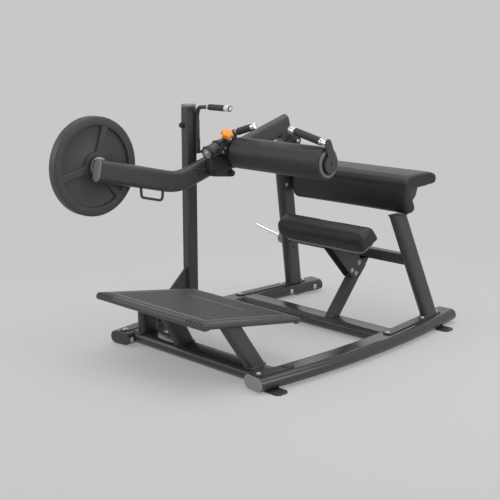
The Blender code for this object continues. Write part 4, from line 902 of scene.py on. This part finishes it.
work = bmesh.new()
near_side = [(0.0285, HALF), (BOSS - 0.003, HALF), (BOSS, HALF - 0.002), (BOSS + 0.004, THIN + 0.001),
             (BOSS + 0.006, THIN), (FIELD - 0.006, THIN), (FIELD - 0.003, THIN + 0.001),
             (FIELD, HALF - 0.003), (FIELD + 0.002, HALF - 0.0008), (FIELD + 0.005, HALF),
             (RIM - 0.0065, HALF), (RIM - 0.0030, HALF - 0.0012), (RIM - 0.0008, HALF - 0.0035),
             (RIM, HALF - 0.0070)]
far_side = [(radius, -height) for radius, height in near_side[::-1]]
lathe(work, near_side + far_side + [near_side[0]], PLATE_AT, X, 160)
print("disc turned")

# %% [markdown]
# The spokes join the disc as skins of one crowned section, laid outward and narrower between hub and rim.
# They could be cut from a thicker disc, but the skin gives their rounded edges at once.

# %% Spokes and sleeve of the plate
FIRST_SPOKE, SPOKES = 72, 3

crown = [(-1, THIN), (-0.80, HALF - 0.0030), (-0.72, HALF - 0.0016)]
upper = crown + [(-across, height) for across, height in crown[::-1]]
outline = upper + [(across, -height) for across, height in upper[::-1]]
for k in range(SPOKES):
    angle = radians(FIRST_SPOKE + 360 * k / SPOKES)
    out = Y * cos(angle) + Z * sin(angle)
    flank = X.cross(out)
    rings = []
    for reach in (BOSS - 0.004, BOSS + 0.010, FIELD - 0.012, FIELD + 0.004):
        half = 0.018 if BOSS < reach < FIELD else 0.025
        rings.append([work.verts.new(PLATE_AT + out * reach + flank * across * half + X * height)
                      for across, height in outline])
    skin(work, rings, capped=False)
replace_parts(new_piece("weight_plate_casting", work, PLATE, "weight"), "weight_plate")
turned("plate_sleeve", [(0.0256, 0.0236), (0.0256, 0.0244), (0.0285, 0.0244), (0.0290, 0.0236),
                        (0.0290, -0.0236), (0.0285, -0.0244), (0.0256, -0.0244), (0.0256, 0.0236)],
       PLATE_AT, X, STEEL, "weight", 64)
print("plate made")

# %% [markdown]
# The release rod's barrel is a hinge in two lengths: the lower one is a little stouter, and a dark washer
# parts them.

# %% Hinge barrel
BARREL_BORE = 0.0111

turned("barrel_sleeve", [(BARREL_BORE, 0), (0.0120, 0), (0.0126, 0.0008), (0.0126, 0.0532), (0.0120, 0.0540),
                         (BARREL_BORE, 0.0540), (BARREL_BORE, 0)],
       at(-0.4087, 0.022, 0.8690), Z, COAT, steps=32)
turned("barrel_washer", [(BARREL_BORE, 0), (0.0136, 0), (0.0136, 0.0022), (BARREL_BORE, 0.0022),
                         (BARREL_BORE, 0)], at(-0.4087, 0.022, 0.9232), Z, DARK_COAT, steps=32)
print("barrel made")

# %% [markdown]
# Two looks are fitted on frame copies. The plate horn's collar wears the lever's coat while the horn stays
# bare, and the release rod is a stouter bar above its barrel than the frame's wire.

# %% Horn collar and release bar
HORN_RADIUS = 0.0252
BARREL_TOP, GRIP_ROOT = 1.022, at(-0.272, 0, 0).x
STOUTER = 0.0026

horn = pieces["plate_horn"]
horn.data.materials.append(COAT)
for face in horn.data.polygons:
    away = face.center - PLATE_AT
    away.x = 0
    face.material_index = int(away.length > HORN_RADIUS)
rod = pieces["release_rod"]
for vert, normal in [(vert, vert.normal.copy()) for vert in rod.data.vertices]:
    if vert.co.z > BARREL_TOP and vert.co.x < GRIP_ROOT:
        vert.co += normal * STOUTER
print("horn and bar fitted")

# %% [markdown]
# The moulded end caps are gently domed, so a thin crown is laid on the post's cap and on the lever's front
# end.

# %% Domed caps
CORNER_STEPS = 8


def domed_cap(work, centre, out, across, width, height, corner, rise):
    """A flat oval or rounded crown: nested outlines that rise toward the middle."""
    over = out.cross(across)
    rings = []
    for inset, lift in ((0.0, 0.0), (0.0012, 0.0011), (0.004, 0.0024), (0.010, rise * 0.85), (0.018, rise)):
        w, h = width / 2 - inset, height / 2 - inset
        r = max(min(corner - inset, w, h), 0.001)
        ring = []
        for qx, qy, start in ((1, 1, 0), (-1, 1, 90), (-1, -1, 180), (1, -1, 270)):
            for step in range(CORNER_STEPS + 1):
                a = radians(start + 90 * step / CORNER_STEPS)
                ring.append(work.verts.new(centre + out * lift + across * (qx * (w - r) + r * cos(a))
                                           + over * (qy * (h - r) + r * sin(a))))
        rings.append(ring)
    skin(work, rings)


work = bmesh.new()
domed_cap(work, at(-0.445, 0.0, 1.0880), Z, X, 0.050, 0.060, 0.012, rise=0.0040)
new_piece("post_crown", work, GREY_CAP)
work = bmesh.new()
front_way = Vector((0, -0.459, 0.107)).normalized()
lever_end = at(-0.360, -0.614, 0.845) + front_way * 0.0041
domed_cap(work, lever_end, front_way, X, 0.049, 0.099, 0.0245, rise=0.0030)
new_piece("lever_crown", work, GREY_CAP, "lever")
print("caps made")

# %% [markdown]
# The picture is taken from the machine's near front corner with a long lens, a little above the pads. The
# numbers are a real camera's: where it stands, how far it is turned and tilted, and its focal length.

# %% Camera
CAMERA_AT = (3.1594, -3.3131, 1.488)
CAMERA_TURN, CAMERA_DIP = radians(44.17), radians(13.02)
SENSOR, LENS = 36.0, 72.28

camera_data = bpy.data.cameras.new("picture_camera")
camera_data.sensor_width = SENSOR
camera_data.lens = LENS
camera = bpy.data.objects.new("picture_camera", camera_data)
camera.location = CAMERA_AT
camera.rotation_euler = (pi / 2 - CAMERA_DIP, 0, CAMERA_TURN)
bpy.context.scene.collection.objects.link(camera)
bpy.context.scene.camera = camera
print("camera set")

# %% [markdown]
# The studio is a pale sweep with soft lamps. The camera sees one flat grey in the distance, and so does
# whatever mirrors or lets light through: the world shows it through Light Path, and lights the rest a little
# brighter. Near the machine the floor is a plain diffuse surface that takes the shadow, and it fades into the
# flat grey further out.

# %% Studio
BACKDROP = (0.584, 0.572, 0.578)
FLOOR_TONE = (0.56, 0.55, 0.552)
FLOOR_RADIUS = 14.0
FADE_FROM, FADE_TO = 1.4, 3.0
WORLD_LIGHT = 0.70
SHADOW_SHARE = 0.55


def paint_sky():
    """Shows the backdrop to the camera and in reflections, and lights the rest."""
    world = bpy.data.worlds.new("studio")
    bpy.context.scene.world = world
    sky = Recipe(world)
    sky.tree.nodes.remove(sky.tree.nodes["Background"])
    seen = sky.node("ShaderNodeLightPath", out="Is Camera Ray")
    for ray in ("Is Glossy Ray", "Is Transmission Ray"):
        seen = seen.math("MAXIMUM", seen, sky.node("ShaderNodeLightPath", out=ray))
    light = sky.node("ShaderNodeBackground", {}, {"Color": (1, 1, 1, 1), "Strength": WORLD_LIGHT})
    shown = sky.node("ShaderNodeBackground", {}, {"Color": (*BACKDROP, 1)})
    mixed = sky.node("ShaderNodeMixShader", {}, {0: seen, 1: light, 2: shown})
    sky.feed(sky.tree.nodes["World Output"].inputs["Surface"], mixed)


def floor_paint():
    paint = Finish("studio_floor")
    paint.tree.nodes.remove(paint.shader)
    diffuse = paint.node("ShaderNodeBsdfDiffuse", {}, {"Color": (*FLOOR_TONE, 1)})
    flat = paint.node("ShaderNodeEmission", {}, {"Color": (*BACKDROP, 1)})
    away = paint.node("ShaderNodeVectorMath", {"operation": "LENGTH"}, {0: paint.place}, out="Value")
    fade = paint.node("ShaderNodeMapRange", {"interpolation_type": "SMOOTHSTEP"},
                      {"Value": away, "From Min": FADE_FROM, "From Max": FADE_TO})
    share = 1 - (1 - fade) * SHADOW_SHARE
    mixed = paint.node("ShaderNodeMixShader", {}, {0: share, 1: diffuse, 2: flat})
    paint.feed(paint.tree.nodes["Material Output"].inputs["Surface"], mixed)
    return paint.owner


paint_sky()
work = bmesh.new()
bmesh.ops.create_circle(work, cap_ends=True, segments=64, radius=FLOOR_RADIUS)
object_of("studio_floor", work, floor_paint())
print("floor and backdrop made")

# %% [markdown]
# Four softboxes stand round the machine, as a photographer would set them: a large one overhead and three
# smaller ones at the front, the side and the rear. The camera doesn't see the lamps themselves.

# %% Lamps
def softbox(name, place, aim, size, power):
    lamp = bpy.data.lights.new(name, "AREA")
    lamp.shape = "RECTANGLE"
    lamp.size, lamp.size_y = size
    lamp.energy = power
    holder = bpy.data.objects.new(name, lamp)
    holder.location = place
    holder.rotation_euler = (Vector(aim) - Vector(place)).to_track_quat("-Z", "Y").to_euler()
    holder.visible_camera = False
    bpy.context.scene.collection.objects.link(holder)


softbox("top_softbox", (0.3, 0.4, 3.4), (0.0, 0.0, 0.4), (3.6, 3.6), 58.0)
softbox("front_softbox", (-2.4, -3.2, 2.2), (0.0, 0.0, 0.6), (2.4, 1.8), 30.0)
softbox("side_softbox", (3.8, 1.4, 2.0), (0.0, 0.2, 0.6), (2.0, 1.8), 30.0)
softbox("rear_softbox", (-3.4, 4.2, 2.8), (0.0, 0.0, 0.3), (4.0, 2.0), 16.0)
bpy.context.scene.view_settings.view_transform = "Standard"
print("studio lit")

# %% [markdown]
# The last cell ends the lesson.

# %% Finish
print("lesson done")
